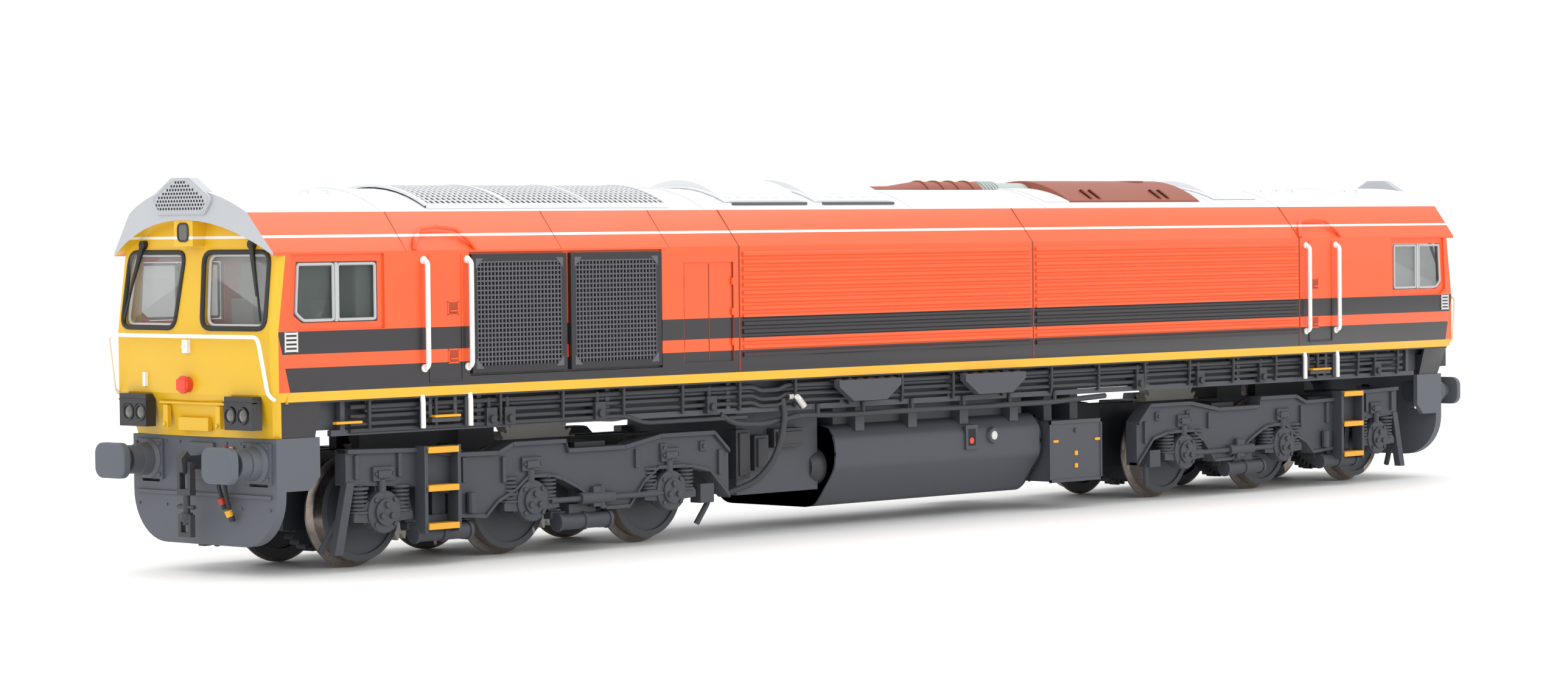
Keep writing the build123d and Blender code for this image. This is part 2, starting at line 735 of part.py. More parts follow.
def make_underframe_steps():
    """Bucket steps below the cab doors, their grab posts, and the two tread steps amidships."""
    steps = []
    for x0, x1 in (rails_x[:2], rails_x[2:]):
        for side in (-1, 1):
            y0 = side * (rail_y1 + 0.05)
            y1 = side * (half_width - 0.1)
            pan = box(x0 + 1.4, x1 - 1.4, y0, y1, 19.6, 20.2)
            for x in (x0 + 1.4, x1 - 2.0):
                pan += box(x, x + 0.6, y0, y0 + side * 0.5, 19.6, sill_z)
            steps.append(pan)
            for x in (x0 - 0.1, x1 + 0.1):
                steps.append(rod_z(18.8, sill_z, x, side * (half_width - 0.5), 0.35))
    for x0, x1 in ((-27.6, -13.8), (1.0, 15.4)):
        tread = poly((x0, sill_z - 0.4), (x1, sill_z - 0.4), (x1, sill_z - 1.4), (x1 - 3.2, sill_z - 3.6),
                     (x0 + 3.2, sill_z - 3.6), (x0, sill_z - 1.4))
        for side in both_sides(prism_y(tread, rail_y1 + 0.05, half_width)):
            steps.append(side)
    return steps


# ---- electrics ----


def make_circuit_board():
    board = box(-52.0, 52.0, -9.0, 9.0, 40.0, 41.0)
    for x in (-48.0, 48.0):
        board += box(x - 1.5, x + 1.5, -7.0, 7.0, 41.0, 42.6)
    return board


def make_decoder():
    return box(-22.0, 6.0, -7.0, 7.0, 41.05, 44.0)


def make_speaker():
    case = box(54.0, 78.0, -8.0, 8.0, 40.05, 45.6)
    return case - box(56.0, 76.0, -6.0, 6.0, 45.0, 46.0)


def make_motor_can():
    """The steel can with its end plates and two curved magnets."""
    can = rod_x(-motor_half, motor_half, 0, motor_z, motor_r)
    can -= rod_x(-motor_half + 1, motor_half - 1, 0, motor_z, motor_r - motor_wall)
    can -= rod_x(-motor_half - 1, motor_half + 1, 0, motor_z, bearing_r)
    ring = rod_x(-10, 10, 0, motor_z, motor_r - motor_wall)
    ring -= rod_x(-11, 11, 0, motor_z, magnet_r)
    ring -= box(-12, 12, -20, 20, motor_z - 2.2, motor_z + 2.2)
    return [can, ring.solids()]


def make_bearings():
    bush = rod_x(motor_half - 1.4, motor_half + 1.0, 0, motor_z, bearing_r)
    bush -= rod_x(motor_half - 2, motor_half + 2, 0, motor_z, shaft_r + run_gap)
    return both_ends(bush)


def make_armature():
    core = rod_x(-8.0, 6.0, 0, motor_z, core_r)
    for k in range(5):
        slot = Pos(0, 0, motor_z) * Rot(72 * k, 0, 0) * box(-9, 7, -0.5, 0.5, core_r - 2.2, core_r + 1)
        core -= slot
    core += rod_x(6.0, 11.0, 0, motor_z, 2.4)
    return core - rod_x(-20, 20, 0, motor_z, shaft_r)


def cup(x0, x1):
    """A drive cup from x0 to its open end x1, with two slots for the ball's pins."""
    step = 1 if x1 > x0 else -1
    wall = rod_x(x0, x1, 0, motor_z, cup_r) - rod_x(x0 + step * 0.9, x1 + step, 0, motor_z, cup_bore)
    slot = box(x0 + step * 0.9, x1 + step, -cup_slot / 2, cup_slot / 2, motor_z - 5, motor_z + 5)
    return wall - slot


def make_flywheels():
    wheel = rod_x(flywheel_x0, flywheel_x1, 0, motor_z, flywheel_r)
    wheel -= rod_x(flywheel_x0 - 1, flywheel_x0 + 2, 0, motor_z, 5.6) - rod_x(
        flywheel_x0 - 2, flywheel_x0 + 3, 0, motor_z, 2.4)
    wheel += cup(flywheel_x1 - 0.1, flywheel_x1 + cup_depth)
    wheel -= rod_x(flywheel_x0 - 1, flywheel_x1 - 0.5, 0, motor_z, shaft_r)
    return both_ends(wheel)


def make_cardan(end):
    """The drive shaft from the flywheel's cup to the worm's cup, a ball with two pins at each end."""
    shaft = rod_x(end * ball_x, end * pivot_x, 0, motor_z, cardan_r)
    for x in (end * ball_x, end * pivot_x):
        shaft += Pos(x, 0, motor_z) * Sphere(ball_r)
        shaft += rod_z(motor_z - cup_r + 0.2, motor_z + cup_r - 0.2, x, 0, pin_r)
    return shaft


# ---- gears ----


def involute(t, base):
    return base * (cos(t) + t * sin(t)), base * (sin(t) - t * cos(t))


def gear_face(teeth, phase):
    """A spur gear's outline as (x, z) about its centre; one tooth points along phase, in degrees."""
    pitch = gear_module * teeth / 2
    base = pitch * cos(radians(pressure_angle))
    tip = pitch + gear_module
    root = pitch - 1.25 * gear_module
    t_pitch = sqrt((pitch / base) ** 2 - 1)
    px, py = involute(t_pitch, base)
    half = pi / (2 * teeth) - backlash / (2 * pitch)
    shift = atan2(py, px)
    start = max(base, root)
    flank = []
    for k in range(5):
        r = start + (tip - start) * k / 4
        t = sqrt((r / base) ** 2 - 1)
        x, y = involute(t, base)
        flank.append((r, half + shift - atan2(y, x)))
    points = []
    for k in range(teeth):
        middle = radians(phase) + 2 * pi * k / teeth
        side = [(root, flank[0][1])] + flank
        for r, a in side:
            points.append((r * cos(middle - a), r * sin(middle - a)))
        for r, a in reversed(side):
            points.append((r * cos(middle + a), r * sin(middle + a)))
    return poly(*points)


def mesh_phase(teeth_a, phase_a, direction, teeth_b):
    """The phase of gear b that meshes with gear a, seen from a along direction, in degrees."""
    part = ((direction - phase_a) * teeth_a / 360) % 1
    return direction + 180 - (0.5 - part) * 360 / teeth_b


def spur_gear(teeth, phase, x, z, width):
    return prism_y(Pos(x, z) * gear_face(teeth, phase), -width / 2, width / 2)


def shaft_gear(teeth, phase, x, z, width):
    """A gear on its own stub shaft, carried between the bogie's cheeks."""
    gear = spur_gear(teeth, phase, x, z, width)
    gear += rod_y(-cheek_y0 + 0.1, cheek_y0 - 0.1, x, z, gear_shaft_r + 0.6)
    return gear + rod_y(-cheek_y1 + 0.1, cheek_y1 - 0.1, x, z, gear_shaft_r)


def gear_phases(out):
    """The rest angle of each gear in a bogie, by the direction out of the worm's side."""
    wheel = 90.0
    idler = mesh_phase(worm_wheel_teeth, wheel, -90.0, idler_teeth)
    rise = degrees(atan2(idler_z - axle_z, idler_dx))
    down_in = 180 + rise if out > 0 else -rise
    down_out = -rise if out > 0 else 180 + rise
    outer_axle = mesh_phase(idler_teeth, idler, down_out, axle_teeth)
    middle_axle = mesh_phase(idler_teeth, idler, down_in, axle_teeth)
    up_in = 180 - rise if out > 0 else rise
    inner_idler = mesh_phase(axle_teeth, middle_axle, up_in, idler_teeth)
    inner_axle = mesh_phase(idler_teeth, inner_idler, down_in, axle_teeth)
    return {"wheel": wheel, "idler": idler, "outer": outer_axle, "middle": middle_axle,
            "inner_idler": inner_idler, "inner": inner_axle}


def make_worm(end):
    """A single-start worm on its shaft, its drive cup over the bogie's pivot."""
    centre = end * (pivot_x + idler_dx)
    pitch = pi * gear_module
    tip = worm_tip_r
    root = worm_pitch_r - 1.25 * gear_module
    slope = tan(radians(pressure_angle))
    half = (pitch / 2 - worm_thin) / 2
    points = []
    for u, r in ((half + 1.25 * gear_module * slope, root), (half, worm_pitch_r),
                 (half - gear_module * slope, tip)):
        points.append((u, r))
    ridge = points + [(-u, r) for u, r in reversed(points)]
    outline = []
    for (u0, r0), (u1, r1) in zip(ridge, ridge[1:]):
        for k in range(6):
            u = u0 + (u1 - u0) * k / 6
            r = r0 + (r1 - r0) * k / 6
            outline.append((2 * pi * u / pitch, r))
    gap_from = -ridge[0][0]
    gap_to = ridge[0][0] - pitch
    for k in range(10):
        u = gap_from + (gap_to - gap_from) * k / 10
        outline.append((2 * pi * u / pitch, root))
    section = poly(*[(r * cos(a), r * sin(a)) for a, r in outline])
    x0 = centre - worm_length / 2
    turns = worm_length / pitch
    # The thread's groove sits over the worm wheel's top tooth.
    groove = (centre - x0) / pitch + 0.5
    start = -90 - 360 * (groove % 1)
    face = (Plane.YZ.offset(x0) * Rot(0, 0, start) * section).faces()[0]
    face = Pos(0, 0, motor_z) * face
    thread = Solid.extrude_linear_with_rotation(
        face, Vector(x0, 0, motor_z), Vector(worm_length, 0, 0), 360 * turns)
    shaft = rod_x(end * (pivot_x + 3.0), end * (pivot_x + 22.4), 0, motor_z, shaft_r)
    return thread + shaft + cup(end * (pivot_x + 3.2), end * (pivot_x - 2.2))


def wheel_profile():
    """Half of a wheel's section as (y, r): tread, flange, rim and web."""
    back = back_to_back / 2
    face = back + wheel_width
    rim = tread_r - 1.0
    return poly(
        (back, axle_r), (face - 0.3, axle_r), (face - 0.3, rim), (face, rim), (face, tread_r - 0.12),
        (back + flange_t + 0.35, tread_r), (back + flange_t, tread_r + 0.35), (back + flange_t * 0.7, axle_z),
        (back + flange_t * 0.3, axle_z), (back, tread_r + 0.35), (back, rim), (back + 0.6, rim), (back + 0.6, 2.4),
        (back, 2.4),
    )


def make_wheelset(x, phase):
    """An axle with two wheels, its drive gear and its two turning bearing caps."""
    wheel = revolve(Plane(origin=(0, 0, 0), x_dir=(0, 1, 0), z_dir=(1, 0, 0)) * wheel_profile(), Axis.Y)
    wheels = [Pos(x, 0, axle_z) * side for side in both_sides(wheel)]
    axle = rod_y(-box_y1 - 0.05, box_y1 + 0.05, x, axle_z, axle_r)
    gear = spur_gear(axle_teeth, phase, x, axle_z, gear_width)
    gear += rod_y(-cheek_y0 + 0.1, cheek_y0 - 0.1, x, axle_z, axle_r + 0.9)
    gear -= rod_y(-5, 5, x, axle_z, axle_r)
    cap = rod_y(box_y1 + 0.05, cap_y1, x, axle_z, cap_r)
    for k in range(3):
        a = radians(90 + 120 * k)
        cap += rod_y(cap_y1 - 0.1, cap_y1 + 0.2, x + 1.15 * cos(a), axle_z + 1.15 * sin(a), 0.3)
    return [axle, gear, wheels, both_sides(cap)]


# ---- bogies ----


def make_bogie_frame(end):
    """The gear case: two cheeks with every shaft's bearings, the worm tower, pivot and cross beams."""
    out = end
    cheeks = []
    for side in (-1, 1):
        y0 = side * cheek_y0
        y1 = side * cheek_y1
        cheek = box(-cheek_end, cheek_end, y0, y1, cheek_low_z, cheek_top_z)
        cheek += box(out * tower_x0, out * tower_x1, y0, y1, cheek_top_z - 0.5, motor_z - worm_tip_r - 0.2)
        cheeks.append(cheek)
    frame = cheeks[0] + cheeks[1]
    for x in (-cheek_end, cheek_end - cheek_wall):
        frame += box(x, x + cheek_wall, -cheek_y1, cheek_y1, cheek_low_z, cheek_top_z)
    for x0, x1 in ((tower_x0, tower_x0 + 1.6), (tower_x1 - 3.2, tower_x1)):
        frame += box(out * x0, out * x1, -cheek_y1, cheek_y1, motor_z - worm_tip_r - 0.4, motor_z + 2.4)
    frame -= rod_x(-30, 30, 0, motor_z, shaft_r + run_gap)
    frame += box(-3.4, 3.4, -cheek_y1, cheek_y1, 14.4, bolster_top_z)
    frame += rod_z(bolster_top_z - 0.6, sill_z + 0.6, 0, 0, pivot_r)
    frame += rod_z(sill_z + 0.2, sill_z + 1.2, 0, 0, pivot_r + 1.2)
    for x in (-axle_spacing, 0, axle_spacing):
        frame -= rod_y(-9, 9, x, axle_z, axle_r + run_gap)
    for x, z in ((-idler_dx, idler_z), (idler_dx, idler_z), (out * idler_dx, worm_wheel_z)):
        frame -= rod_y(-9, 9, x, z, gear_shaft_r + run_gap)
    for x in (-idler_dx, idler_dx):
        for side in (-1, 1):
            frame += box(x - 3.0, x + 3.0, side * (cheek_y1 - 0.2), side * side_y0, 13.6, 15.4)
    return Pos(end * pivot_x, 0, 0) * frame


def side_frame_sketch():
    """One cast side frame as (x, z), outer end towards +X, with an arch over each wheel."""
    crest = bogie_top_z
    axle = axle_spacing
    return poly(
        (bogie_outer_end, 11.6), (bogie_outer_end, crest), (21.5, crest - 0.3), (14.0, crest - 1.3),
        (6.3, crest - 1.4), (3.6, crest - 0.3), (-6.5, crest - 0.3), (-6.9, crest - 1.7), (-18.0, crest - 1.7),
        (-25.4, crest - 0.4), (-bogie_inner_end + 3.2, crest - 0.4), (-bogie_inner_end, crest - 3.2),
        (-bogie_inner_end, 6.1), (-axle - 8.2, 10.1), (-axle - 4.0, 11.0), (-axle + 2.4, 11.0), (-axle + 5.3, 9.1),
        (-19.0, 5.8), (-14.4, 5.8), (-8.9, 9.0), (-5.8, 10.4), (-3.6, 11.0), (0.6, 11.0), (3.2, 9.2),
        (6.4, 7.8), (8.6, 5.9), (14.2, 6.3), (14.2, 9.4), (axle - 5.5, 11.0),
    )


def make_side_frames(end):
    """The cast side frames with axleboxes, coil springs, dampers, brake cylinders and step ladders."""
    plate = prism_y(side_frame_sketch(), side_y0, side_y1)
    for x in (-axle_spacing, 0, axle_spacing):
        case = rod_y(side_y0, box_y1, x, axle_z, 2.5)
        case += box(x - 3.0, x + 3.0, side_y0, side_y1 - 0.3, axle_z - 1.6, axle_z + 1.6)
        case += box(x - 1.0, x + 1.0, side_y0, side_y1 - 0.3, axle_z, 12.0)
        plate += case
        for dx in (-3.6, 3.6):
            plate += rod_z(axle_z, 12.2, x + dx, (side_y0 + side_y1) / 2, 1.0)
    for x in (-idler_dx + 3.2, idler_dx + 2.6):
        plate += rod_x(x - 4.4, x + 4.4, side_y1 - 0.7, 4.4, 0.9)
        plate += box(x - 2.6, x + 2.6, side_y0, side_y1 - 0.5, 3.8, 6.8)
        plate += box(x - 1.2, x + 1.2, side_y0, side_y0 + 1.2, 6.0, 14.0)
    for x in (-axle_spacing, 0, axle_spacing):
        plate -= rod_y(side_y0 - 1, box_y1 + 1, x, axle_z, axle_r + run_gap)
    half = ladder_width / 2
    for x in (ladder_x - half, ladder_x + half - 0.6):
        plate += box(x, x + 0.6, side_y1 - 0.2, ladder_y - 0.1, 4.6, bogie_top_z)
    for k in range(3):
        z = 5.0 + k * tread_rise
        plate += box(ladder_x - half + 0.3, ladder_x + half - 0.3, side_y1 - 0.2, ladder_y, z, z + 0.5)
    guard = poly((bogie_outer_end - 1.4, 12.0), (bogie_outer_end, 12.0), (bogie_outer_end + 2.2, 2.4),
                 (bogie_outer_end + 0.8, 2.4))
    plate += prism_y(guard, side_y0, side_y0 + 1.2)
    plate = mirror(plate, Plane.YZ) if end < 0 else plate
    return [Pos(end * pivot_x, 0, 0) * side for side in both_sides(plate)]


# ---- writing the nodes ----


def main():
    write("body_shell", make_shell())
    write("windscreen_glazing", make_windscreens())
    write("cab_side_windows", make_side_windows())
    write("side_grilles", make_side_grilles())
    write("roof_radiator_grille", make_radiator_grille())
    write("roof_hatches", make_hatches())
    write("exhaust_silencer", make_silencer())
    write("exhaust_flue", make_flues())
    write("horn_grilles", make_horn_grilles())
    write("headlight_lenses", make_headlights())
    write("lamp_clusters", make_lamp_clusters())
    write("door_handrails", make_door_rails())
    write("cab_handrails", make_cab_rails())
    write("windscreen_wipers", make_wipers())
    write("buffer_beams", make_valances())
    write("buffer_sleeves", make_sleeves())
    write("drawhooks", make_hooks())
    write("brake_hoses", make_hoses())
    write("cab_interiors", make_cabs())
    write("chassis_frame", make_chassis())
    write("chassis_screws", make_screws())
    write("ballast_weights", make_ballast())
    write("fuel_tank", make_tank())
    write("battery_box", make_battery_box())
    write("underframe_pipework", make_pipework())
    write("underframe_steps", make_underframe_steps())
    write("circuit_board", make_circuit_board())
    write("decoder", make_decoder())
    write("speaker", make_speaker())
    write("motor_can", make_motor_can())
    write("motor_bearings", make_bearings())
    write("motor_shaft", rod_x(-flywheel_x1 + 0.6, flywheel_x1 - 0.6, 0, motor_z, shaft_r))
    write("armature", make_armature())
    write("flywheels", make_flywheels())
    for end, cab in ((-1, "one"), (1, "two")):
        phases = gear_phases(end)
        inner_x = end * (pivot_x - idler_dx)
        outer_x = end * (pivot_x + idler_dx)
        write(f"drive_shaft_{cab}", make_cardan(end))
        write(f"worm_{cab}", make_worm(end))
        write(f"worm_wheel_{cab}",
              shaft_gear(worm_wheel_teeth, phases["wheel"], outer_x, worm_wheel_z, worm_wheel_width))
        write(f"outer_idler_{cab}", shaft_gear(idler_teeth, phases["idler"], outer_x, idler_z, gear_width))
        write(f"inner_idler_{cab}", shaft_gear(idler_teeth, phases["inner_idler"], inner_x, idler_z, gear_width))
        for name, dx in (("outer", axle_spacing), ("middle", 0), ("inner", -axle_spacing)):
            write(f"{name}_wheelset_{cab}", make_wheelset(end * (pivot_x + dx), phases[name]))
        write(f"bogie_frame_{cab}", make_bogie_frame(end))
        write(f"bogie_sides_{cab}", make_side_frames(end))
        for side, hand in ((-1, "right"), (1, "left")):
            buffer = make_buffer(side * buffer_y)
            write(f"buffer_{cab}_{hand}", buffer if end > 0 else mirror(buffer, Plane.YZ))
        link = make_link()
        write(f"coupling_link_{cab}", link if end > 0 else mirror(link, Plane.YZ))


main()
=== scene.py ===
import json
import math

import bmesh
import bpy
from mathutils import Matrix, Vector

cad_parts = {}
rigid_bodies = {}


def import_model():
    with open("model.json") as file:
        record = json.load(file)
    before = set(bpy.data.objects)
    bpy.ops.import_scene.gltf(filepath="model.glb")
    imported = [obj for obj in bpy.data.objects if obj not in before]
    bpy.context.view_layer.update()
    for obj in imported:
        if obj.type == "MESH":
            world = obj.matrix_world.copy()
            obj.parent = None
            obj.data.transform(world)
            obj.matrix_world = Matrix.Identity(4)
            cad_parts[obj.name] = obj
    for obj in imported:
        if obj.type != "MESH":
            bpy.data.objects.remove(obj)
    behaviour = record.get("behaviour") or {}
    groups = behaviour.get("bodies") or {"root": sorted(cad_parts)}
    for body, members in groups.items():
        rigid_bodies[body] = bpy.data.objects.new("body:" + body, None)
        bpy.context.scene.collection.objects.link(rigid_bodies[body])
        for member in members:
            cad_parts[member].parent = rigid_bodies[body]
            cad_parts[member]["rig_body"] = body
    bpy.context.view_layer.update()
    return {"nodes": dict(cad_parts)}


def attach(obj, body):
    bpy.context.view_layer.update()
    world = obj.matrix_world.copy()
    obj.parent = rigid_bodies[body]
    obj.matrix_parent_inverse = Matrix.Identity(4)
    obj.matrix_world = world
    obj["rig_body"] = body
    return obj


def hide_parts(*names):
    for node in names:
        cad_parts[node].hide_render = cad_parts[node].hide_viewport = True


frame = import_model()

# ---- Camera ---------------------------------------------------------------
# A long lens set low off the corner of cab one, as for a catalogue picture of the finished model.
# It aims a little towards cab one, just above the height of the sills.
MM = 0.001
bearing, climb, roll = math.radians(-46.28), math.radians(1.70), math.radians(-0.58)
stand_off, aim = 625.0 * MM, Vector((-20.5, 0, 26.8)) * MM
away = Vector((math.sin(bearing) * math.cos(climb), -math.cos(bearing) * math.cos(climb), math.sin(climb)))
right = Vector((math.cos(bearing), math.sin(bearing), 0))
upward = away.cross(right)
turn = Matrix.Rotation(roll, 4, away)
lens = bpy.data.cameras.new("catalogue_lens")
lens.sensor_width = 36.0
lens.lens = 93.4
lens.clip_end = 20
camera = bpy.data.objects.new("camera", lens)
bpy.context.scene.collection.objects.link(camera)
camera.matrix_world = (Matrix.Translation(aim + away * stand_off) @ turn
                       @ Matrix((right, upward, away)).transposed().to_4x4())
bpy.context.scene.camera = camera


# ---- Studio ---------------------------------------------------------------
# White paper sweep under three soft boxes: one high and wide, one beyond cab one, one along the side.
# The paper has a faint tooth, so that the wheels stand on something.
def linear(colour):
    """An sRGB hex colour as linear red, green, blue and alpha."""
    parts = [int(colour[k:k + 2], 16) / 255 for k in (1, 3, 5)]
    return tuple(p / 12.92 if p <= 0.04045 else ((p + 0.055) / 1.055) ** 2.4 for p in parts) + (1.0,)


def add(tree, kind, inputs=None, **settings):
    """Adds a shader node with its settings, its input values and its links."""
    made = tree.nodes.new(kind)
    for key, value in settings.items():
        setattr(made, key, value)
    for key, value in (inputs or {}).items():
        if isinstance(value, bpy.types.NodeSocket):
            tree.links.new(value, made.inputs[key])
        else:
            made.inputs[key].default_value = value
    return made


def new_material(name, inputs=None):
    """A material with only its shader, set to some inputs; returns it, its tree and the shader."""
    material = bpy.data.materials.new(name)
    material.use_nodes = True
    tree = material.node_tree
    tree.nodes.clear()
    shader = add(tree, "ShaderNodeBsdfPrincipled", inputs)
    add(tree, "ShaderNodeOutputMaterial", {"Surface": shader.outputs[0]})
    return material, tree, shader


def surface_place(tree, spacing_mm):
    """Surface coordinates scaled so that one unit of a pattern is spacing_mm long."""
    place = add(tree, "ShaderNodeTexCoord")
    return add(tree, "ShaderNodeVectorMath", {0: place.outputs["Object"], 1: (1 / (spacing_mm * MM),) * 3},
               operation="MULTIPLY").outputs[0]


def grained(name, colour, roughness, spacing_mm, detail, strength, distance, inputs=None):
    """A material of one colour with a fine relief; distance is the relief's depth in metres."""
    coat = {"Base Color": linear(colour), "Roughness": roughness}
    material, tree, shader = new_material(name, {**coat, **(inputs or {})})
    grain = add(tree, "ShaderNodeTexNoise",
                {"Vector": surface_place(tree, spacing_mm), "Scale": 1.0, "Detail": detail})
    relief = add(tree, "ShaderNodeBump", {"Height": grain.outputs[0], "Strength": strength,
                                          "Distance": distance})
    tree.links.new(relief.outputs[0], shader.inputs["Normal"])
    return material


paper = grained("white_paper", "#FBFBFA", 0.55, 1.5, 3.0, 0.05, 0.0001)
bpy.ops.mesh.primitive_plane_add(size=6.0, location=(0, 0, 0))
floor = bpy.context.object
floor.name = "paper_sweep"
floor.data.materials.append(paper)

world = bpy.data.worlds.new("studio_air")
bpy.context.scene.world = world
world.use_nodes = True
world.node_tree.nodes["Background"].inputs[0].default_value = linear("#FFFFFF")
world.node_tree.nodes["Background"].inputs[1].default_value = 1.06
bpy.context.scene.view_settings.view_transform = "Standard"


def soft_box(name, place, aim_at, width, height, watts):
    """A rectangular lamp at a place, turned to face a point."""
    data = bpy.data.lights.new(name, "AREA")
    data.shape, data.size, data.size_y, data.energy = "RECTANGLE", width, height, watts
    lamp = bpy.data.objects.new(name, data)
    bpy.context.scene.collection.objects.link(lamp)
    lamp.location = place
    lamp.rotation_euler = (Vector(aim_at) - Vector(place)).to_track_quat("-Z", "Y").to_euler()


soft_box("high_box", (0.05, 0.10, 0.60), (0, 0, 0.02), 0.9, 0.6, 2.2)
soft_box("nose_box", (-0.65, -0.25, 0.30), (-0.1, 0, 0.03), 0.5, 0.4, 0.8)
soft_box("side_box", (0.10, -0.75, 0.35), (0.03, 0, 0.03), 0.8, 0.4, 1.3)


# ---- Body shell -----------------------------------------------------------
# One moulding in ABS with both cab ends, sprayed: orange sides with two charcoal bands, amber sill,
# yellow ends, silver visors, pale grey roof. Satin lacquer over all seals it, with a fine orange peel.
def satin_lacquer(tree, shader, colour, roughness, peel_mm=0.5):
    """Gives a shader a sprayed colour: a slight drift in tone, uneven gloss and orange peel."""
    drift = add(tree, "ShaderNodeTexNoise", {"Vector": surface_place(tree, 14.0), "Scale": 1.0,
                                             "Detail": 4.0})
    tone = add(tree, "ShaderNodeMapRange", {"Value": drift.outputs[0], "To Min": 0.93, "To Max": 1.05})
    mixed = add(tree, "ShaderNodeMix", {"Factor": 1.0, "A": colour}, data_type="RGBA",
                blend_type="MULTIPLY")
    grey = add(tree, "ShaderNodeCombineColor", {k: tone.outputs[0] for k in ("Red", "Green", "Blue")})
    tree.links.new(grey.outputs[0], mixed.inputs[7])
    tree.links.new(mixed.outputs[2], shader.inputs["Base Color"])
    peel = add(tree, "ShaderNodeTexNoise", {"Vector": surface_place(tree, peel_mm), "Scale": 1.0,
                                            "Detail": 2.0})
    gloss = add(tree, "ShaderNodeMapRange",
                {"Value": drift.outputs[0], "To Min": roughness - 0.06, "To Max": roughness + 0.06})
    tree.links.new(gloss.outputs[0], shader.inputs["Roughness"])
    bump = add(tree, "ShaderNodeBump", {"Height": peel.outputs[0], "Strength": 0.12, "Distance": 0.00004})
    tree.links.new(bump.outputs[0], shader.inputs["Normal"])
    shader.inputs["IOR"].default_value = 1.5


def sprayed(name, colour, roughness=0.42):
    """Sprayed model enamel of one colour."""
    material, tree, shader = new_material(name)
    base = add(tree, "ShaderNodeRGB")
    base.outputs[0].default_value = linear(colour)
    satin_lacquer(tree, shader, base.outputs[0], roughness)
    return material


def between(tree, value, low, high):
    """A mask that is one where a value lies between two limits."""
    above = add(tree, "ShaderNodeMath", {0: value, 1: low}, operation="GREATER_THAN")
    below = add(tree, "ShaderNodeMath", {0: value, 1: high}, operation="LESS_THAN")
    return add(tree, "ShaderNodeMath", {0: above.outputs[0], 1: below.outputs[0]},
               operation="MULTIPLY").outputs[0]


def painted_over(tree, under, colour, mask):
    """A colour masked over the paint beneath it."""
    mix = add(tree, "ShaderNodeMix", {"Factor": mask, "A": under, "B": linear(colour)}, data_type="RGBA")
    return mix.outputs[2]


orange_paint, charcoal_paint, amber_paint, nose_yellow = "#E85A28", "#2B292C", "#E9AF28", "#DDB022"
livery, tree, shader = new_material("livery_enamels")
place = add(tree, "ShaderNodeTexCoord")
scaled = add(tree, "ShaderNodeVectorMath", {0: place.outputs["Object"], 1: (1000,) * 3},
             operation="MULTIPLY")
spot = add(tree, "ShaderNodeSeparateXYZ", {0: scaled.outputs[0]})
along = add(tree, "ShaderNodeMath", {0: spot.outputs["X"]}, operation="ABSOLUTE").outputs[0]
level = spot.outputs["Z"]
band_low, band_mid, band_high, band_top = 24.5, 27.7, 29.5, 32.5
window_line = 133.8
coat = add(tree, "ShaderNodeRGB")
coat.outputs[0].default_value = linear(orange_paint)
coat = coat.outputs[0]
rake = add(tree, "ShaderNodeMath", {0: level, 1: 0.25, 2: window_line - 8.0}, operation="MULTIPLY_ADD")
short = add(tree, "ShaderNodeMath", {0: along, 1: rake.outputs[0]}, operation="LESS_THAN").outputs[0]
for low, high in ((band_low, band_mid), (band_high, band_top)):
    strip = add(tree, "ShaderNodeMath", {0: between(tree, level, low, high), 1: short},
                operation="MULTIPLY")
    coat = painted_over(tree, coat, charcoal_paint, strip.outputs[0])
coat = painted_over(tree, coat, "#F2F0EC", between(tree, level, 44.8, 45.15))
coat = painted_over(tree, coat, amber_paint, between(tree, level, 23.25, band_low))
coat = painted_over(tree, coat, charcoal_paint, between(tree, level, 0, 23.25))
satin_lacquer(tree, shader, coat, 0.36)
nose_livery, tree, shader = new_material("nose_enamels")
place = add(tree, "ShaderNodeTexCoord")
scaled = add(tree, "ShaderNodeVectorMath", {0: place.outputs["Object"], 1: (1000,) * 3},
             operation="MULTIPLY")
level = add(tree, "ShaderNodeSeparateXYZ", {0: scaled.outputs[0]}).outputs["Z"]
coat = add(tree, "ShaderNodeRGB")
coat.outputs[0].default_value = linear(nose_yellow)
satin_lacquer(tree, shader, painted_over(tree, coat.outputs[0], "#F2F0EC",
                                         between(tree, level, 44.75, 45.1)), 0.36)
visor_silver = sprayed("silver_enamel", "#B0B3B8", 0.38)
roof_enamel = sprayed("roof_grey_enamel", "#D9DBDD", 0.45)


def finished(name, mesh, materials, node, width, segments, crease, replaced=True, pick=None):
    """Makes a smooth piece of a mesh, with edges sharper than crease eased, that rides with a CAD node."""
    for entry in materials:
        mesh.materials.append(entry)
    for polygon in mesh.polygons:
        polygon.material_index = pick(polygon.center / MM, polygon.normal) if pick else 0
        polygon.use_smooth = True
    mesh.set_sharp_from_angle(angle=math.radians(crease))
    piece = bpy.data.objects.new(name, mesh)
    bpy.context.scene.collection.objects.link(piece)
    if width:
        ease = piece.modifiers.new("eased_edges", "BEVEL")
        ease.width, ease.segments, ease.limit_method = width * MM, segments, "ANGLE"
        ease.angle_limit, ease.harden_normals = math.radians(crease), True
    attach(piece, frame["nodes"][node]["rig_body"])
    if replaced:
        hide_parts(node)


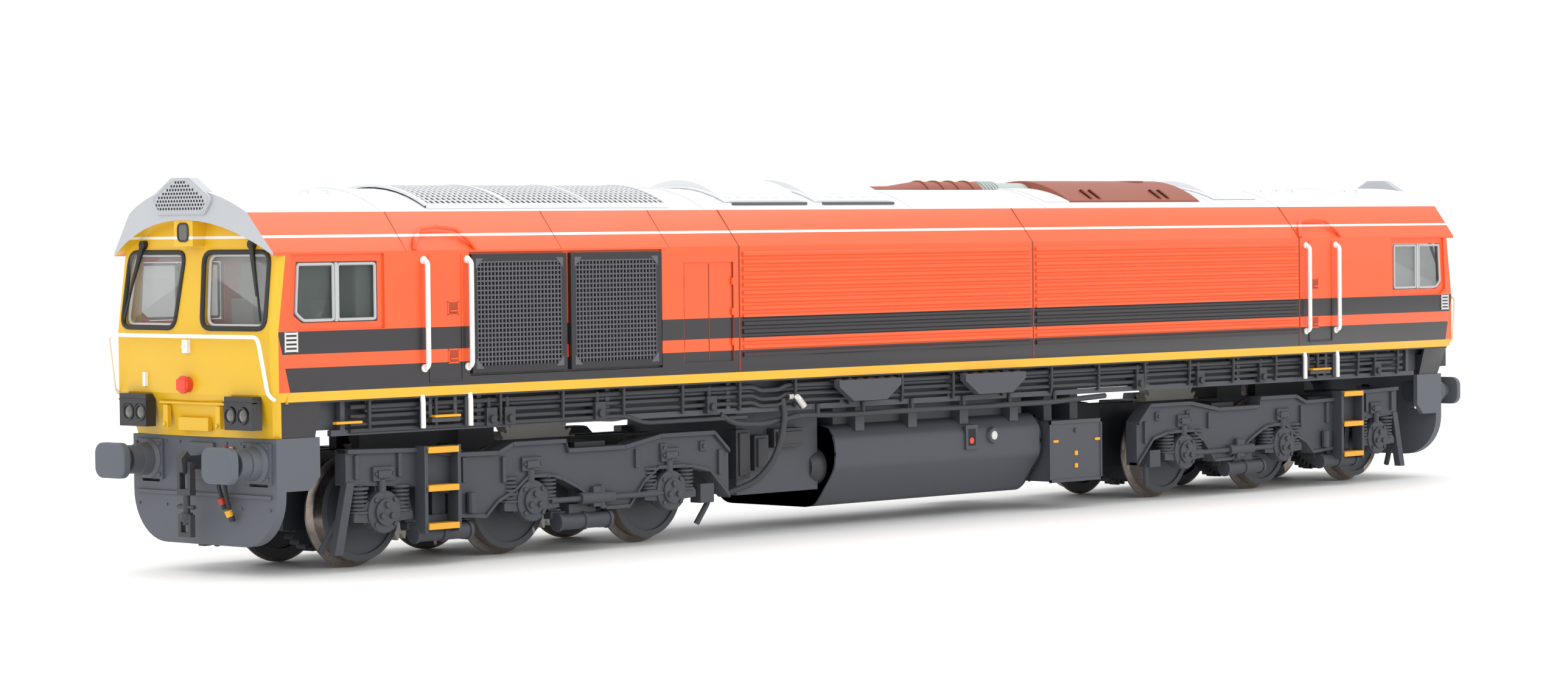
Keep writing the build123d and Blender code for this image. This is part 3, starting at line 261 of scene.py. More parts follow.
def softened(node, material, width=0.12, others=(), pick=None):
    """A CAD node's own shape with its edges eased, as a moulding or casting has them."""
    mesh = frame["nodes"][node].data.copy()
    bm = bmesh.new()
    bm.from_mesh(mesh)
    bmesh.ops.remove_doubles(bm, verts=bm.verts, dist=2e-6)
    bmesh.ops.dissolve_limit(bm, angle_limit=math.radians(1.0), verts=bm.verts, edges=bm.edges)
    bmesh.ops.recalc_face_normals(bm, faces=bm.faces)
    bm.to_mesh(mesh)
    bm.free()
    mesh.materials.clear()
    finished(node + "_finish", mesh, (material, *others), node, width, 2, 32, pick=pick)


def shell_coat(centre, normal):
    """Which paint a face of the shell has: livery, visor silver, roof grey or nose yellow."""
    forward = normal.x * (1 if centre.x > 0 else -1)
    on_block = abs(centre.y) < 2.1 and centre.z < 47.9
    if abs(centre.x) > 133.9 and centre.z > 42.4 and forward > 0.4 and not on_block:
        return 1
    if centre.z > 48.15 and normal.z > 0.5:
        return 2
    return 3 if abs(centre.x) > 130 and (forward > 0.25 or abs(centre.y) < 16.1) else 0


softened("body_shell", livery, 0.15, (visor_silver, roof_enamel, nose_livery), shell_coat)


# ---- Visors and horn grilles ----------------------------------------------
# A separate cast visor sits over the screens of each cab. Its horn box has a cover of pressed mesh,
# sprayed silver; each drilled hole is a black pin, painted shade for the dark inside the hole.
def blank():
    return bmesh.new()


def span(middle, half):
    """The two ends of a length about its middle."""
    return middle - half, middle + half


def block(bm, x0, x1, y0, y1, z0, z1):
    """A solid block between two corners, in millimetres."""
    middle = Vector(((x0 + x1) / 2, (y0 + y1) / 2, (z0 + z1) / 2)) * MM
    size = (abs(x1 - x0) * MM, abs(y1 - y0) * MM, abs(z1 - z0) * MM, 1)
    bmesh.ops.create_cube(bm, size=1, matrix=Matrix.Translation(middle) @ Matrix.Diagonal(size))


def rod(bm, start, end, radius, sides=12, taper=1.0):
    """A solid round bar between two points, tapering if asked."""
    a, b = Vector(start) * MM, Vector(end) * MM
    lean = (b - a).to_track_quat("Z", "Y").to_matrix().to_4x4()
    bmesh.ops.create_cone(bm, cap_ends=True, segments=sides, radius1=radius * MM,
                          radius2=radius * taper * MM,
                          depth=(b - a).length, matrix=Matrix.Translation((a + b) / 2) @ lean)


def sheet(bm, outline, across, low, high):
    """A flat outline pulled to a thickness; across is the axis it is pulled along."""
    place = {"x": lambda u, v, w: (w, u, v), "y": lambda u, v, w: (u, w, v), "z": lambda u, v,
             w: (u, v, w)}[across]
    lower = [bm.verts.new(Vector(place(u, v, low)) * MM) for u, v in outline]
    upper = [bm.verts.new(Vector(place(u, v, high)) * MM) for u, v in outline]
    bm.faces.new(lower)
    bm.faces.new(upper[::-1])
    for k in range(len(outline)):
        n = (k + 1) % len(outline)
        bm.faces.new((lower[k], lower[n], upper[n], upper[k]))


def skin_rings(bm, rings):
    """Faces between each ring of vertices and the next, and over both ends."""
    for one, two in zip(rings, rings[1:]):
        for k in range(len(one)):
            n = (k + 1) % len(one)
            bm.faces.new((one[k], one[n], two[n], two[k]))
    bm.faces.new(rings[0][::-1])
    bm.faces.new(rings[-1])


def turned(bm, profile, centre, axis, sides=32):
    """A turned solid: profile is (along, radius) pairs on an axis through the centre."""
    spin = {"x": Matrix.Rotation(math.radians(90), 3, "Y"), "y": Matrix.Rotation(math.radians(-90), 3, "X"),
            "z": Matrix.Identity(3)}[axis]
    rings = []
    for along, radius in profile:
        ring = []
        for k in range(sides):
            a = 2 * math.pi * k / sides
            local = Vector((radius * math.cos(a), radius * math.sin(a), along))
            ring.append(bm.verts.new((Vector(centre) + spin @ local) * MM))
        rings.append(ring)
    skin_rings(bm, rings)


def wire(bm, points, radius, bend=1.0, sides=10):
    """A bent wire through points, each corner rounded to a bend radius."""
    path = [Vector(p) for p in points]
    line = [path[0]]
    for before, corner, after in zip(path, path[1:], path[2:]):
        reach = min(bend, (corner - before).length * 0.48, (after - corner).length * 0.48)
        a, b = corner + (before - corner).normalized() * reach, corner + (after - corner).normalized() * reach
        line += [a.lerp(corner, t).lerp(corner.lerp(b, t), t) for t in (0, 0.25, 0.5, 0.75, 1.0)]
    line.append(path[-1])
    rings, side = [], None
    for k, spot in enumerate(line):
        ahead = (line[min(k + 1, len(line) - 1)] - line[max(k - 1, 0)]).normalized()
        if side is None:
            side = ahead.orthogonal().normalized()
        side = (side - ahead * side.dot(ahead)).normalized()
        other = ahead.cross(side)
        turns = [2 * math.pi * j / sides for j in range(sides)]
        rings.append([bm.verts.new((spot + (side * math.cos(a) + other * math.sin(a)) * radius) * MM)
                      for a in turns])
    skin_rings(bm, rings)


def copies(bm, *flips):
    """Adds a mirrored copy of all there is so far, once for each flip: x for ends, y for sides."""
    for flip in flips:
        found = bmesh.ops.duplicate(bm, geom=bm.verts[:] + bm.edges[:] + bm.faces[:])
        verts = [g for g in found["geom"] if isinstance(g, bmesh.types.BMVert)]
        for v in verts:
            setattr(v.co, flip, -getattr(v.co, flip))
        bmesh.ops.reverse_faces(bm, faces=[g for g in found["geom"] if isinstance(g, bmesh.types.BMFace)])


def fitted(bm, name, material, node, ease=0.04, flips="", replaced=False):
    """Turns a mesh in progress into a finished piece that rides with a CAD node, and may take its place."""
    copies(bm, *flips)
    bmesh.ops.recalc_face_normals(bm, faces=bm.faces)
    mesh = bpy.data.meshes.new(name)
    bm.to_mesh(mesh)
    bm.free()
    finished(name, mesh, (material,), node, ease, 1, 35, replaced)


# Flat black as painted shade: in the horn mesh holes, behind and under grille mesh, in the exhaust mouth.
shade_black = sprayed("painted_shade_black", "#17171A", 0.7)
softened("horn_grilles", visor_silver, 0.2)
nose_tip = 136.35
bm = blank()
for row in range(8):
    z = 48.8 + row * 0.5
    reach = 5.4 - max(0.0, z - 50.1) * 1.7
    count = int(reach / 0.31)
    for k in range(-count, count + 1):
        y = k * 0.6 + (0.3 if row % 2 else 0.0)
        if abs(y) < reach - 0.25:
            rod(bm, (nose_tip - 0.12, y, z), (nose_tip + 0.02, y, z), 0.2, 6)
fitted(bm, "horn_mesh_holes", shade_black, "horn_grilles", 0, "x")
bm = blank()
rim = [(-4.7, 48.35), (4.7, 48.35), (6.0, 50.1), (1.8, 52.6), (-1.8, 52.6), (-6.0, 50.1)]
wire(bm, [(nose_tip, y, z) for y, z in rim + rim[:1]], 0.16, 0.6, 8)
fitted(bm, "horn_mesh_rims", visor_silver, "horn_grilles", 0, "x")

# ---- Windscreens, rubbers and wipers --------------------------------------
# Clear polystyrene panes, moulded and polished, with a printed black rubber round each. The wipers
# are fine black wire. A pale ring just inside each rubber is a painted highlight for the light that
# bends at the edges of the clear parts, which have a faint grey-green cast.
clear = grained("clear_polystyrene", "#E6EBEA", 0.04, 6.0, 1.0, 0.08, 0.00005, {"IOR": 1.45, "Alpha": 0.10})
softened("windscreen_glazing", clear, 0.0)
rubber = sprayed("black_rubber_print", "#242427", 0.6)


def nose_front(z):
    """How far out the cab front is at a height, beside the centre line."""
    steps = ((18.4, 133.6), (23.0, 134.6), (24.2, 135.4), (32.4, 135.4), (43.4, 133.9), (48.0, 133.3))
    for (z0, x0), (z1, x1) in zip(steps, steps[1:]):
        if z <= z1:
            return x0 + (x1 - x0) * max(0.0, (z - z0)) / (z1 - z0)
    return steps[-1][1]


def nose_skin(y, z, proud=0.0):
    """A point on the swept-back cab front."""
    sweep = 0.8 * max(0.0, abs(y) - 1.8) / (16.2 - 1.8)
    return Vector((nose_front(z) - sweep + proud, y, z))


def rounded(corners, radius, steps=4):
    """An outline with its corners rounded."""
    out = []
    count = len(corners)
    for k in range(count):
        before, corner, after = (Vector(corners[(k + d) % count]) for d in (-1, 0, 1))
        a = corner + (before - corner).normalized() * radius
        b = corner + (after - corner).normalized() * radius
        for s in range(steps + 1):
            t = s / steps
            out.append(a.lerp(corner, t).lerp(corner.lerp(b, t), t))
    return out


bm = blank()
screen = rounded([(2.9, 32.9), (15.3, 32.9), (14.9, 43.0), (2.0, 43.0)], 1.6)
ring = [nose_skin(p.x, p.y, 0.02) for p in screen]
wire(bm, ring + ring[:1], 0.34, 0.1, 8)
fitted(bm, "windscreen_rubbers", rubber, "windscreen_wipers", 0, "yx")
# A pale ring just inside each rubber: painted highlight for light bending at the pane's edge.
bm = blank()
inner_rim = rounded([(3.3, 33.3), (14.9, 33.3), (14.5, 42.6), (2.4, 42.6)], 1.3)
rim_line = [nose_skin(p.x, p.y, -0.75) for p in inner_rim]
wire(bm, rim_line + rim_line[:1], 0.22, 0.1, 6)
glass_edge_highlight = sprayed("painted_edge_highlight", "#C9CBCC", 0.3)
fitted(bm, "windscreen_edges", glass_edge_highlight, "windscreen_glazing", 0, "yx")
bm = blank()
rod(bm, nose_skin(11.6, 44.1, 0.45), nose_skin(13.6, 37.2, 0.5), 0.45, 8, 0.35)
wire(bm, [nose_skin(12.5, 41.6, 0.4), nose_skin(14.6, 33.9, 0.3)], 0.18, 0.3, 6)
rod(bm, nose_skin(11.6, 44.0, -0.2), nose_skin(11.6, 44.0, 0.75), 0.6, 12)
wiper_black = sprayed("black_wire", "#1B1B1E", 0.45)
fitted(bm, "wiper_arms", wiper_black, "windscreen_wipers", 0.02, "yx", True)

# ---- Headlights, lamp boxes and socket ------------------------------------
# Each cab front has a tall headlight over the screens and two moulded lamp boxes, satin black, with two
# smoky lenses sunk in each. The red plastic socket is between them.
lens_clear, tree, shader = new_material("clear_lamp_lens", {
    "Base Color": linear("#E9EEF0"), "Roughness": 0.08, "IOR": 1.5, "Coat Weight": 1.0, "Metallic": 0.35})
rings = add(tree, "ShaderNodeTexWave", {"Vector": surface_place(tree, 0.5), "Scale": 0.6},
            wave_type="RINGS", rings_direction="X")
flutes = add(tree, "ShaderNodeBump", {"Height": rings.outputs[0], "Strength": 0.3, "Distance": 0.00005})
tree.links.new(flutes.outputs[0], shader.inputs["Normal"])
softened("headlight_lenses", lens_clear, 0.2)
lens_smoky = grained("smoky_lamp_lens", "#4B4945", 0.12, 0.8, 2.0, 0.25, 0.00004, {"Coat Weight": 1.0})
lamp_black = sprayed("satin_black_moulding", "#2B2B2F", 0.42)
softened("lamp_clusters", lamp_black, 0.12)
lamp_face, lamp_z, lamp_places = 136.1, 21.5, (9.6, 12.2)
bm = blank()
for y in lamp_places:
    turned(bm, [(lamp_face - 0.1, 1.15), (lamp_face + 0.16, 1.15), (lamp_face + 0.16, 0.92),
                (lamp_face - 0.06, 0.88)], (0, y, lamp_z), "x", 24)
block(bm, 135.2, lamp_face + 0.14, 8.2, 14.2, 23.1, 23.3)
fitted(bm, "lamp_bezels", lamp_black, "lamp_clusters", 0.03, "yx")
bm = blank()
for y in lamp_places:
    turned(bm, [(lamp_face - 0.35, 0.85), (lamp_face - 0.05, 0.85), (lamp_face + 0.08, 0.5),
                (lamp_face + 0.1, 0.05)],
           (0, y, lamp_z), "x", 20)
fitted(bm, "headlamp_lenses", lens_smoky, "headlight_lenses", 0, "yx")
eye = rounded([(-1.05, 44.5), (1.05, 44.5), (1.05, 46.8), (-1.05, 46.8)], 0.7)
bm = blank()
sheet(bm, [tuple(p) for p in eye], "x", 135.7, 135.96)
fitted(bm, "headlight_glasses", lens_smoky, "headlight_lenses", 0.08, "x")
bm = blank()
wire(bm, [(135.94, p.x, p.y) for p in eye + eye[:1]], 0.17, 0.05, 6)
fitted(bm, "headlight_rims", lamp_black, "lamp_clusters", 0.02, "x")
bm = blank()
turned(bm, [(135.2, 1.05), (136.0, 1.05), (136.05, 1.2), (136.5, 1.2), (136.6, 1.05), (136.6, 0.3)],
       (0, 0, 25.4), "x", 20)
block(bm, 136.45, 136.75, -0.95, 0.95, 24.7, 26.1)
socket_red = sprayed("red_socket_plastic", "#E0432A", 0.4)
fitted(bm, "front_sockets", socket_red, "brake_hoses", 0.05, "x")

# ---- Front handrails and nose fittings ------------------------------------
# One bent wire at each end, sprayed white, runs under the screens and down both corners; split pins
# hold it. Small white and yellow mouldings sit on the nose: a lamp bracket, a hinge and two hooks.
white_wire = sprayed("white_sprayed_wire", "#F1EFEC", 0.4)
bm = blank()
rail_z, rail_proud = 31.9, 1.9
line = [nose_skin(16.3, 23.6, -0.2), nose_skin(16.4, 24.3, 0.6), nose_skin(16.0, rail_z, rail_proud),
        nose_skin(8.0, rail_z, rail_proud), nose_skin(0, rail_z, rail_proud)]
wire(bm, line + [Vector((p.x, -p.y, p.z)) for p in line[-2::-1]], 0.27, 1.0, 10)
for y in (-11.5, -4.0, 4.0, 11.5):
    rod(bm, nose_skin(y, rail_z, -0.3), nose_skin(y, rail_z, rail_proud), 0.2, 8)
fitted(bm, "nose_handrails", white_wire, "cab_handrails", 0, "x", True)
bm = blank()
block(bm, 135.3, 136.0, -0.55, 0.55, 29.6, 31.4)
rod(bm, (135.9, 0, 30.5), (136.3, 0, 30.5), 0.32, 10)
block(bm, 134.7, 135.5, 9.3, 9.8, 25.0, 26.9)
fitted(bm, "nose_brackets", white_wire, "cab_handrails", 0.03, "x")
nose_paint = sprayed("warning_yellow_enamel", nose_yellow, 0.36)
bm = blank()
for y in (-5.6, 5.6):
    block(bm, 134.3, 135.0, *span(y, 0.5), 19.6, 22.6)
    rod(bm, (134.6, y, 20.0), (135.3, y, 20.0), 0.3, 8)
wire(bm, [(134.0, -7.0, 22.9), (134.9, -7.0, 22.9), (134.9, 7.0, 22.9), (134.0, 7.0, 22.9)], 0.22, 0.4, 8)
block(bm, 133.9, 134.7, -3.2, 3.2, 19.2, 21.0)
fitted(bm, "apron_fittings", nose_paint, "body_shell", 0.06, "x")

# ---- Cab side windows -----------------------------------------------------
# Clear mouldings pressed into the sides, with silver printed frames and a sliding-pane post between.
window_clear = grained("clear_window_styrene", "#56605E", 0.05, 5.0, 1.0, 0.1, 0.00005,
                       {"IOR": 1.5, "Alpha": 0.45})
softened("cab_side_windows", window_clear, 0.0)
frame_silver = sprayed("silver_window_print", "#B4B5B7", 0.35)
bm = blank()
skin = 16.72
front_pane = rounded([(124.2, 33.9), (129.3, 33.9), (130.6, 34.9), (130.2, 41.3), (124.2, 41.3)], 0.3, 2)
rear_pane = rounded([(116.9, 33.9), (123.3, 33.9), (123.3, 41.3), (116.9, 41.3)], 0.3, 2)
for outline, depth in ((front_pane, skin), (rear_pane, skin - 0.1)):
    wire(bm, [(p.x, -depth, p.y) for p in outline + outline[:1]], 0.21, 0.1, 6)
block(bm, 123.5, 123.95, -16.6, -16.86, 33.7, 41.5)
fitted(bm, "side_window_frames", frame_silver, "cab_side_windows", 0, "yx")

# ---- Cab doors, gutters and handrails -------------------------------------
# Moulded with the shell: the door's outline, the gutter arched over it, and square grab recesses.
# The rails on both sides of the door are white sprayed wire in turned stanchions.
softened("door_handrails", white_wire, 0.0)
near_side = -17.0
bm = blank()
grab_levels = (27.7, 34.2)
door_sets = ((-108.6, -100.7), (99.0, 90.5))
for outer_x, inner_x in door_sets:
    mid = (outer_x + inner_x) / 2
    half = abs(outer_x - inner_x) / 2
    for sign in (-1, 1):
        ear = [(mid + sign * (half + 1.6), near_side - 0.12, 43.0),
               (mid + sign * (half + 1.1), -16.7, 43.9),
               (mid + sign * (half - 0.6), -15.4, 45.8), (mid, -15.2, 46.1)]
        wire(bm, ear, 0.34, 0.8, 6)
        block(bm, mid + sign * (half - 1.0) - 0.14, mid + sign * (half - 1.0) + 0.14, near_side - 0.1,
              near_side + 0.2, 25.2, 42.4)
    block(bm, mid - half + 1.0, mid + half - 1.0, near_side - 0.1, near_side + 0.2, 25.1, 25.4)
fitted(bm, "door_gutters", livery, "body_shell", 0.04, "y")
bm = blank()
for outer_x, inner_x in door_sets:
    for x in (outer_x, inner_x):
        for z in (27.0, 41.6):
            rod(bm, (x, near_side + 0.3, z), (x, near_side - 0.25, z), 0.55, 12)
fitted(bm, "rail_stanchions", white_wire, "door_handrails", 0.05, "y")
# Flat plates of dark orange in the grab recesses: painted shade for the shade inside each recess.
bm = blank()
for outer_x, inner_x in door_sets:
    step_in = 1 if inner_x > outer_x else -1
    for z in grab_levels:
        x = inner_x - step_in * 2.6
        sheet(bm, [(x - 0.8, z), (x + 0.8, z), (x + 0.8, z + 1.6), (x - 0.8, z + 1.6)], "y",
              near_side - 0.02,
              near_side + 0.1)
recess_shade_orange = sprayed("recess_painted_shade", "#A83C18", 0.55)
fitted(bm, "door_grab_recesses", recess_shade_orange, "body_shell", 0, "y")
bm = blank()
for outer_x, inner_x in door_sets:
    step_in = 1 if inner_x > outer_x else -1
    for z in grab_levels:
        x = inner_x - step_in * 2.6
        wire(bm, [(x - 0.55, near_side, z + 0.45), (x - 0.55, near_side - 0.2, z + 0.45),
                  (x + 0.55, near_side - 0.2, z + 0.45), (x + 0.55, near_side, z + 0.45)], 0.13, 0.2, 6)
        for edge in (x - 0.9, x + 0.9):
            block(bm, *span(edge, 0.1), near_side - 0.08, near_side + 0.1, z - 0.1, z + 1.7)
        for edge in (z - 0.1, z + 1.7):
            block(bm, *span(x, 1.0), near_side - 0.08, near_side + 0.1, *span(edge, 0.1))
orange_coat = sprayed("orange_enamel", orange_paint, 0.36)
fitted(bm, "door_grab_handles", orange_coat, "body_shell", 0.02, "y")

# ---- Ribbed body sides, panel joints and inspection door ------------------
# Pressed sheet on the real body, moulded here in the shell: fourteen fine level ribs between the
# joints at the engine bay, and the outline of a hinged door next to the cooling group.
bm = blank()
rib_low, rib_high, rib_pitch, rib_proud = 26.6, 42.1, 1.13, 0.26
for x0, x1 in ((-46.9, 18.0), (19.3, 88.2)):
    outline = [(near_side + 0.1, rib_low - 0.5)]
    for k in range(14):
        z = rib_low + k * rib_pitch
        outline += [(near_side - 0.02, z), (near_side - rib_proud, z + 0.22),
                    (near_side - rib_proud, z + 0.6),
                    (near_side - 0.02, z + 0.82)]
    outline += [(near_side - 0.02, rib_high + 0.2), (near_side + 0.1, rib_high + 0.2)]
    sheet(bm, outline, "x", x0, x1)
fitted(bm, "side_ribs", livery, "body_shell", 0.0, "y")
bm = blank()
for x in (-47.6, 18.65, 88.7):
    block(bm, *span(x, 0.13), near_side - 0.03, near_side + 0.1, 24.6, 42.9)
    wire(bm, [(x, near_side, 42.85), (x, -14.82, 45.5), (x, -12.6, 48.2)], 0.09, 0.05, 6)
for x in (-111.6, -83.0, -62.0):
    wire(bm, [(x, near_side, 42.85), (x, -14.82, 45.5), (x, -12.6, 48.2)], 0.06, 0.05, 6)
block(bm, -53.75, -53.6, -16.78, -16.6, 26.4, 40.4)
for x in (-59.0, -48.8):
    block(bm, *span(x, 0.07), -16.99, -16.6, 26.2, 40.6)
seam_dark = sprayed("shadowed_orange_enamel", "#8E2B10", 0.6)
fitted(bm, "panel_joints", seam_dark, "body_shell", 0, "y")
bm = blank()
for z in (29.0, 33.4, 37.8):
    for x in (-58.8, -49.0):
        rod(bm, (x, -16.95, z - 0.5), (x, -16.95, z + 0.5), 0.17, 8)
fitted(bm, "door_hinges", livery, "body_shell", 0, "y")
bm = blank()
for k in range(5):
    z = 29.85 + k * 0.56
    block(bm, 130.6, 132.8, near_side - 0.12, near_side + 0.1, z, z + 0.3)
for x in (130.6, 132.6):
    block(bm, x, x + 0.2, near_side - 0.16, near_side + 0.1, 29.8, 32.45)
plate_white = sprayed("white_plate_print", "#D3D2D0", 0.45)
fitted(bm, "cab_side_vents", plate_white, "cab_handrails", 0.02, "yx")

# ---- Cooling group grilles ------------------------------------------------
# Etched nickel, chemically blacked: square mesh in a frame with cut corners, two panels on each side.
etched_black = grained("blacked_etched_nickel", "#2C2B2E", 0.5, 0.6, 3.0, 0.15, 0.00003, {"Metallic": 0.25})
softened("side_grilles", etched_black, 0.1)
bm = blank()
mesh_pitch, mesh_low, mesh_high = 0.65, 26.9, 41.4
for x0, x1 in ((-99.0, -83.25), (-80.45, -64.7)):
    columns = round((x1 - x0) / mesh_pitch)
    for k in range(columns + 1):
        x = x0 + (x1 - x0) * k / columns
        block(bm, *span(x, 0.1), -17.2, -16.98, mesh_low, mesh_high)
    for k in range(23):
        z = mesh_low + k * mesh_pitch
        block(bm, x0, x1, -17.16, -17.0, *span(z, 0.1))
    for cx, sx in ((x0, 1), (x1, -1)):
        for cz, sz in ((mesh_low, 1), (mesh_high, -1)):
            sheet(bm, [(cx - sx * 0.3, cz - sz * 0.3), (cx + sx * 1.1, cz - sz * 0.3),
                       (cx - sx * 0.3, cz + sz * 1.1)],
                  "y", -17.26, -17.0)
mesh_steel = sprayed("blacked_mesh", "#56555C", 0.45)
fitted(bm, "side_grille_mesh", mesh_steel, "side_grilles", 0, "y")
# Black backing sheets behind the mesh: painted shade for the dark behind each grille.
bm = blank()
for x0, x1 in ((-99.0, -83.2), (-80.5, -64.7)):
    block(bm, x0 + 0.02, x1 - 0.02, -16.9, -16.82, 26.7, 41.6)
fitted(bm, "side_grille_backs", shade_black, "side_grilles", 0, "y")

# ---- Roof: radiator grille, hatches, exhaust ------------------------------
# The roof carries an etched grille over the radiator fans, raised service doors, a pale expansion
# joint in the exhaust pipe, and the arched silencer box, sprayed in a heat-resisting brown.
crown_centre_z = 51.5 - (12.6 ** 2 + 3.3 ** 2) / (2 * 3.3)
roof_radius = 51.5 - crown_centre_z


def roof_z(y, rise=0.0):
    """The height of the arched roof at a distance from the centre line."""
    return crown_centre_z + math.sqrt((roof_radius + rise) ** 2 - y * y)


def arched(bm, x0, x1, reach, low, high, swell=0.0):
    """A band over the arched roof, out to a reach on each side, which may swell towards the middle."""
    stations = [reach * (j / 8 - 1) for j in range(17)]
    outline = [(y, roof_z(y, low)) for y in stations]
    outline += [(y, roof_z(y, high) + swell * (1 - (y / reach) ** 2)) for y in stations[::-1]]
    sheet(bm, outline, "x", x0, x1)


grille_grey = sprayed("etched_grille_grey", "#D9DBDD", 0.4)
# The grille's own CAD shape is flat black under the grey mesh: painted shade for the dark below it.
softened("roof_radiator_grille", shade_black, 0.0)
bm = blank()
grid_y, grid_pitch = 11.4, 1.0
for k in range(47):
    x = -103.2 + k * grid_pitch
    arched(bm, *span(x, 0.15), grid_y, 0.3, 0.46)
for k in range(24):
    y = -grid_y + k * (2 * grid_y / 23)
    block(bm, -103.3, -57.1, *span(y, 0.15), roof_z(y, 0.3), roof_z(y, 0.44))
for y in (-11.7, 11.7):
    block(bm, -103.4, -57.0, *span(y, 0.3), roof_z(y, -0.1), roof_z(y, 0.5))
for x in (-103.3, -88.0, -72.5, -57.1):
    arched(bm, *span(x, 0.3), 11.7, 0.2, 0.55)
fitted(bm, "radiator_mesh", grille_grey, "roof_radiator_grille", 0)
softened("roof_hatches", roof_enamel, 0.1)
bm = blank()
arched(bm, 29.35, 35.4, 10.7, -1.0, 0.1)
for x0, x1 in ((-44.0, -26.0), (-24.5, -6.5), (74.0, 86.0)):
    arched(bm, x0 + 0.6, x1 - 0.6, 8.2, 0.2, 0.45, 0.85)
    for y in (-9.6, 9.6):
        for k in range(int((x1 - x0) / 2.6)):
            x = x0 + 1.6 + k * 2.6
            rod(bm, (x - 0.5, y, roof_z(y, 0.38)), (x + 0.5, y, roof_z(y, 0.38)), 0.2, 8)
for x in (-112.0, -50.0, -4.6, 27.4, 72.0, 88.7, 112.0):
    arched(bm, *span(x, 0.25), 12.5, -0.1, 0.16)
for x in (-120.0, -116.5, 92.0, 96.5, 101.0, 116.5, 120.0):
    for y in (-6.0, 6.0):
        wire(bm, [(x - 0.7, y, roof_z(y, -0.1)), (x - 0.7, y, roof_z(y, 0.4)), (x + 0.7, y, roof_z(y, 0.4)),
                  (x + 0.7, y, roof_z(y, -0.1))], 0.15, 0.3, 6)
fitted(bm, "roof_seams_and_eyes", roof_enamel, "roof_hatches", 0.03)
# Thin dark strips beside the two roof doors: painted shade for the shadowed gaps along their sides.
bm = blank()
for x0, x1 in ((-43.0, -27.0), (-23.5, -7.5)):
    block(bm, x0, x1, -11.4, -11.1, roof_z(11.2), roof_z(11.2, 0.3))
gap_shade_grey = sprayed("gap_painted_shade_grey", "#54575A", 0.6)
fitted(bm, "roof_door_gaps", gap_shade_grey, "roof_hatches", 0, "y")
exhaust_place = (62.5, 0, 0)
exhaust_brown = sprayed("heat_resisting_brown", "#8E4A38", 0.55)
bm = blank()
arched(bm, 35.4, 69.4, 10.7, -1.0, 0.2, 1.05)
turned(bm, [(51.9, 3.35), (52.75, 3.35), (52.75, 2.75), (51.9, 2.7)], exhaust_place, "z", 36)
for x in (41.5, 43.7, 59.5, 61.7):
    for y in (-1, 1):
        rod(bm, (x, y * 10.2, roof_z(10.2, 0.1)), (x, y * 7.8, roof_z(7.8, 0.7)), 0.45, 10)
fitted(bm, "silencer_casing", exhaust_brown, "exhaust_silencer", 0.15, replaced=True)
bm = blank()
pipe_line = (0, 0, 49.5)
turned(bm, [(-2.9, 0.5), (-2.9, 2.3), (3.5, 2.4), (9.5, 3.1), (23.6, 3.1), (23.6, 0.5)], pipe_line, "x", 40)
for x in (10.5, 14.2, 17.8, 21.5):
    turned(bm, [(x - 0.3, 3.0), (x - 0.3, 3.3), (x + 0.3, 3.3), (x + 0.3, 3.0)], pipe_line, "x", 40)
fitted(bm, "exhaust_pipe", exhaust_brown, "exhaust_flue", 0.05, replaced=True)
# A black disc in the mouth of the exhaust: painted shade for the dark inside the pipe.
bm = blank()
turned(bm, [(52.5, 2.7), (52.55, 2.7), (52.55, 0.1)], exhaust_place, "z", 30)
fitted(bm, "exhaust_mouth", shade_black, "exhaust_silencer", 0)
joint_grey = sprayed("pale_green_grey_enamel", "#A9B3AE", 0.45)
bm = blank()
turned(bm, [(23.5, 0.5), (23.5, 2.9), (35.6, 2.9), (35.6, 0.5)], pipe_line, "x", 40)
for k in range(5):
    x = 24.6 + k * 0.8
    turned(bm, [(x - 0.22, 2.8), (x - 0.22, 3.2), (x + 0.22, 3.2), (x + 0.22, 2.8)], pipe_line, "x", 40)
fitted(bm, "exhaust_expansion_joint", joint_grey, "exhaust_flue", 0.03)

# ---- Buffer beams, buffers, couplings and hoses ---------------------------
# Moulded beams with rivets and slots, sprung buffers with oval faces sprayed grey, a forged hook with
# a screw coupling in blackened brass, and rubber-covered brass pipes with painted taps.
# Underframe charcoal darkened as painted shade under the body; beams a lighter copy, painted light on their
# lit fronts.
underframe_shaded_charcoal = sprayed("underframe_charcoal_painted_shade", "#42454C", 0.55)
beam_lit_grey = sprayed("beam_painted_light_grey", "#555961", 0.55)
beam_face, buffer_height = 132.9, 15.1
softened("buffer_beams", beam_lit_grey, 0.12)
softened("buffer_sleeves", underframe_shaded_charcoal, 0.1)
bm = blank()
for y in (-11.5, 11.5):
    turned(bm, [(beam_face, 2.7), (133.5, 2.7), (133.9, 2.25), (135.4, 2.15), (135.4, 1.95), (137.15, 1.95),
                (137.15, 1.35)], (0, y, buffer_height), "x", 28)
    block(bm, beam_face, 133.4, *span(y, 3.0), 12.4, 17.8)
    for dy in (-2.5, 2.5):
        for z in (13.0, 17.2):
            rod(bm, (133.3, y + dy, z), (133.65, y + dy, z), 0.3, 6)
for y in (-14.0, -8.0, -5.0, 5.0, 8.0, 14.0):
    for z in (9.0, 10.6, 17.6):
        rod(bm, (beam_face, y, z), (133.2, y, z), 0.2, 6)
sheet(bm, [(-14.3, 10.4), (14.3, 10.4), (14.3, 10.9), (-14.3, 10.9)], "x", beam_face, 133.3)
block(bm, beam_face, 133.5, -2.6, 2.6, 12.6, 17.6)
for y in (-14.9, 14.9):
    for z in (12.6, 15.0, 17.4):
        for x in (126.6, 128.6, 130.6):
            rod(bm, (x, y - 0.15, z), (x, y + 0.15, z), 0.22, 6)
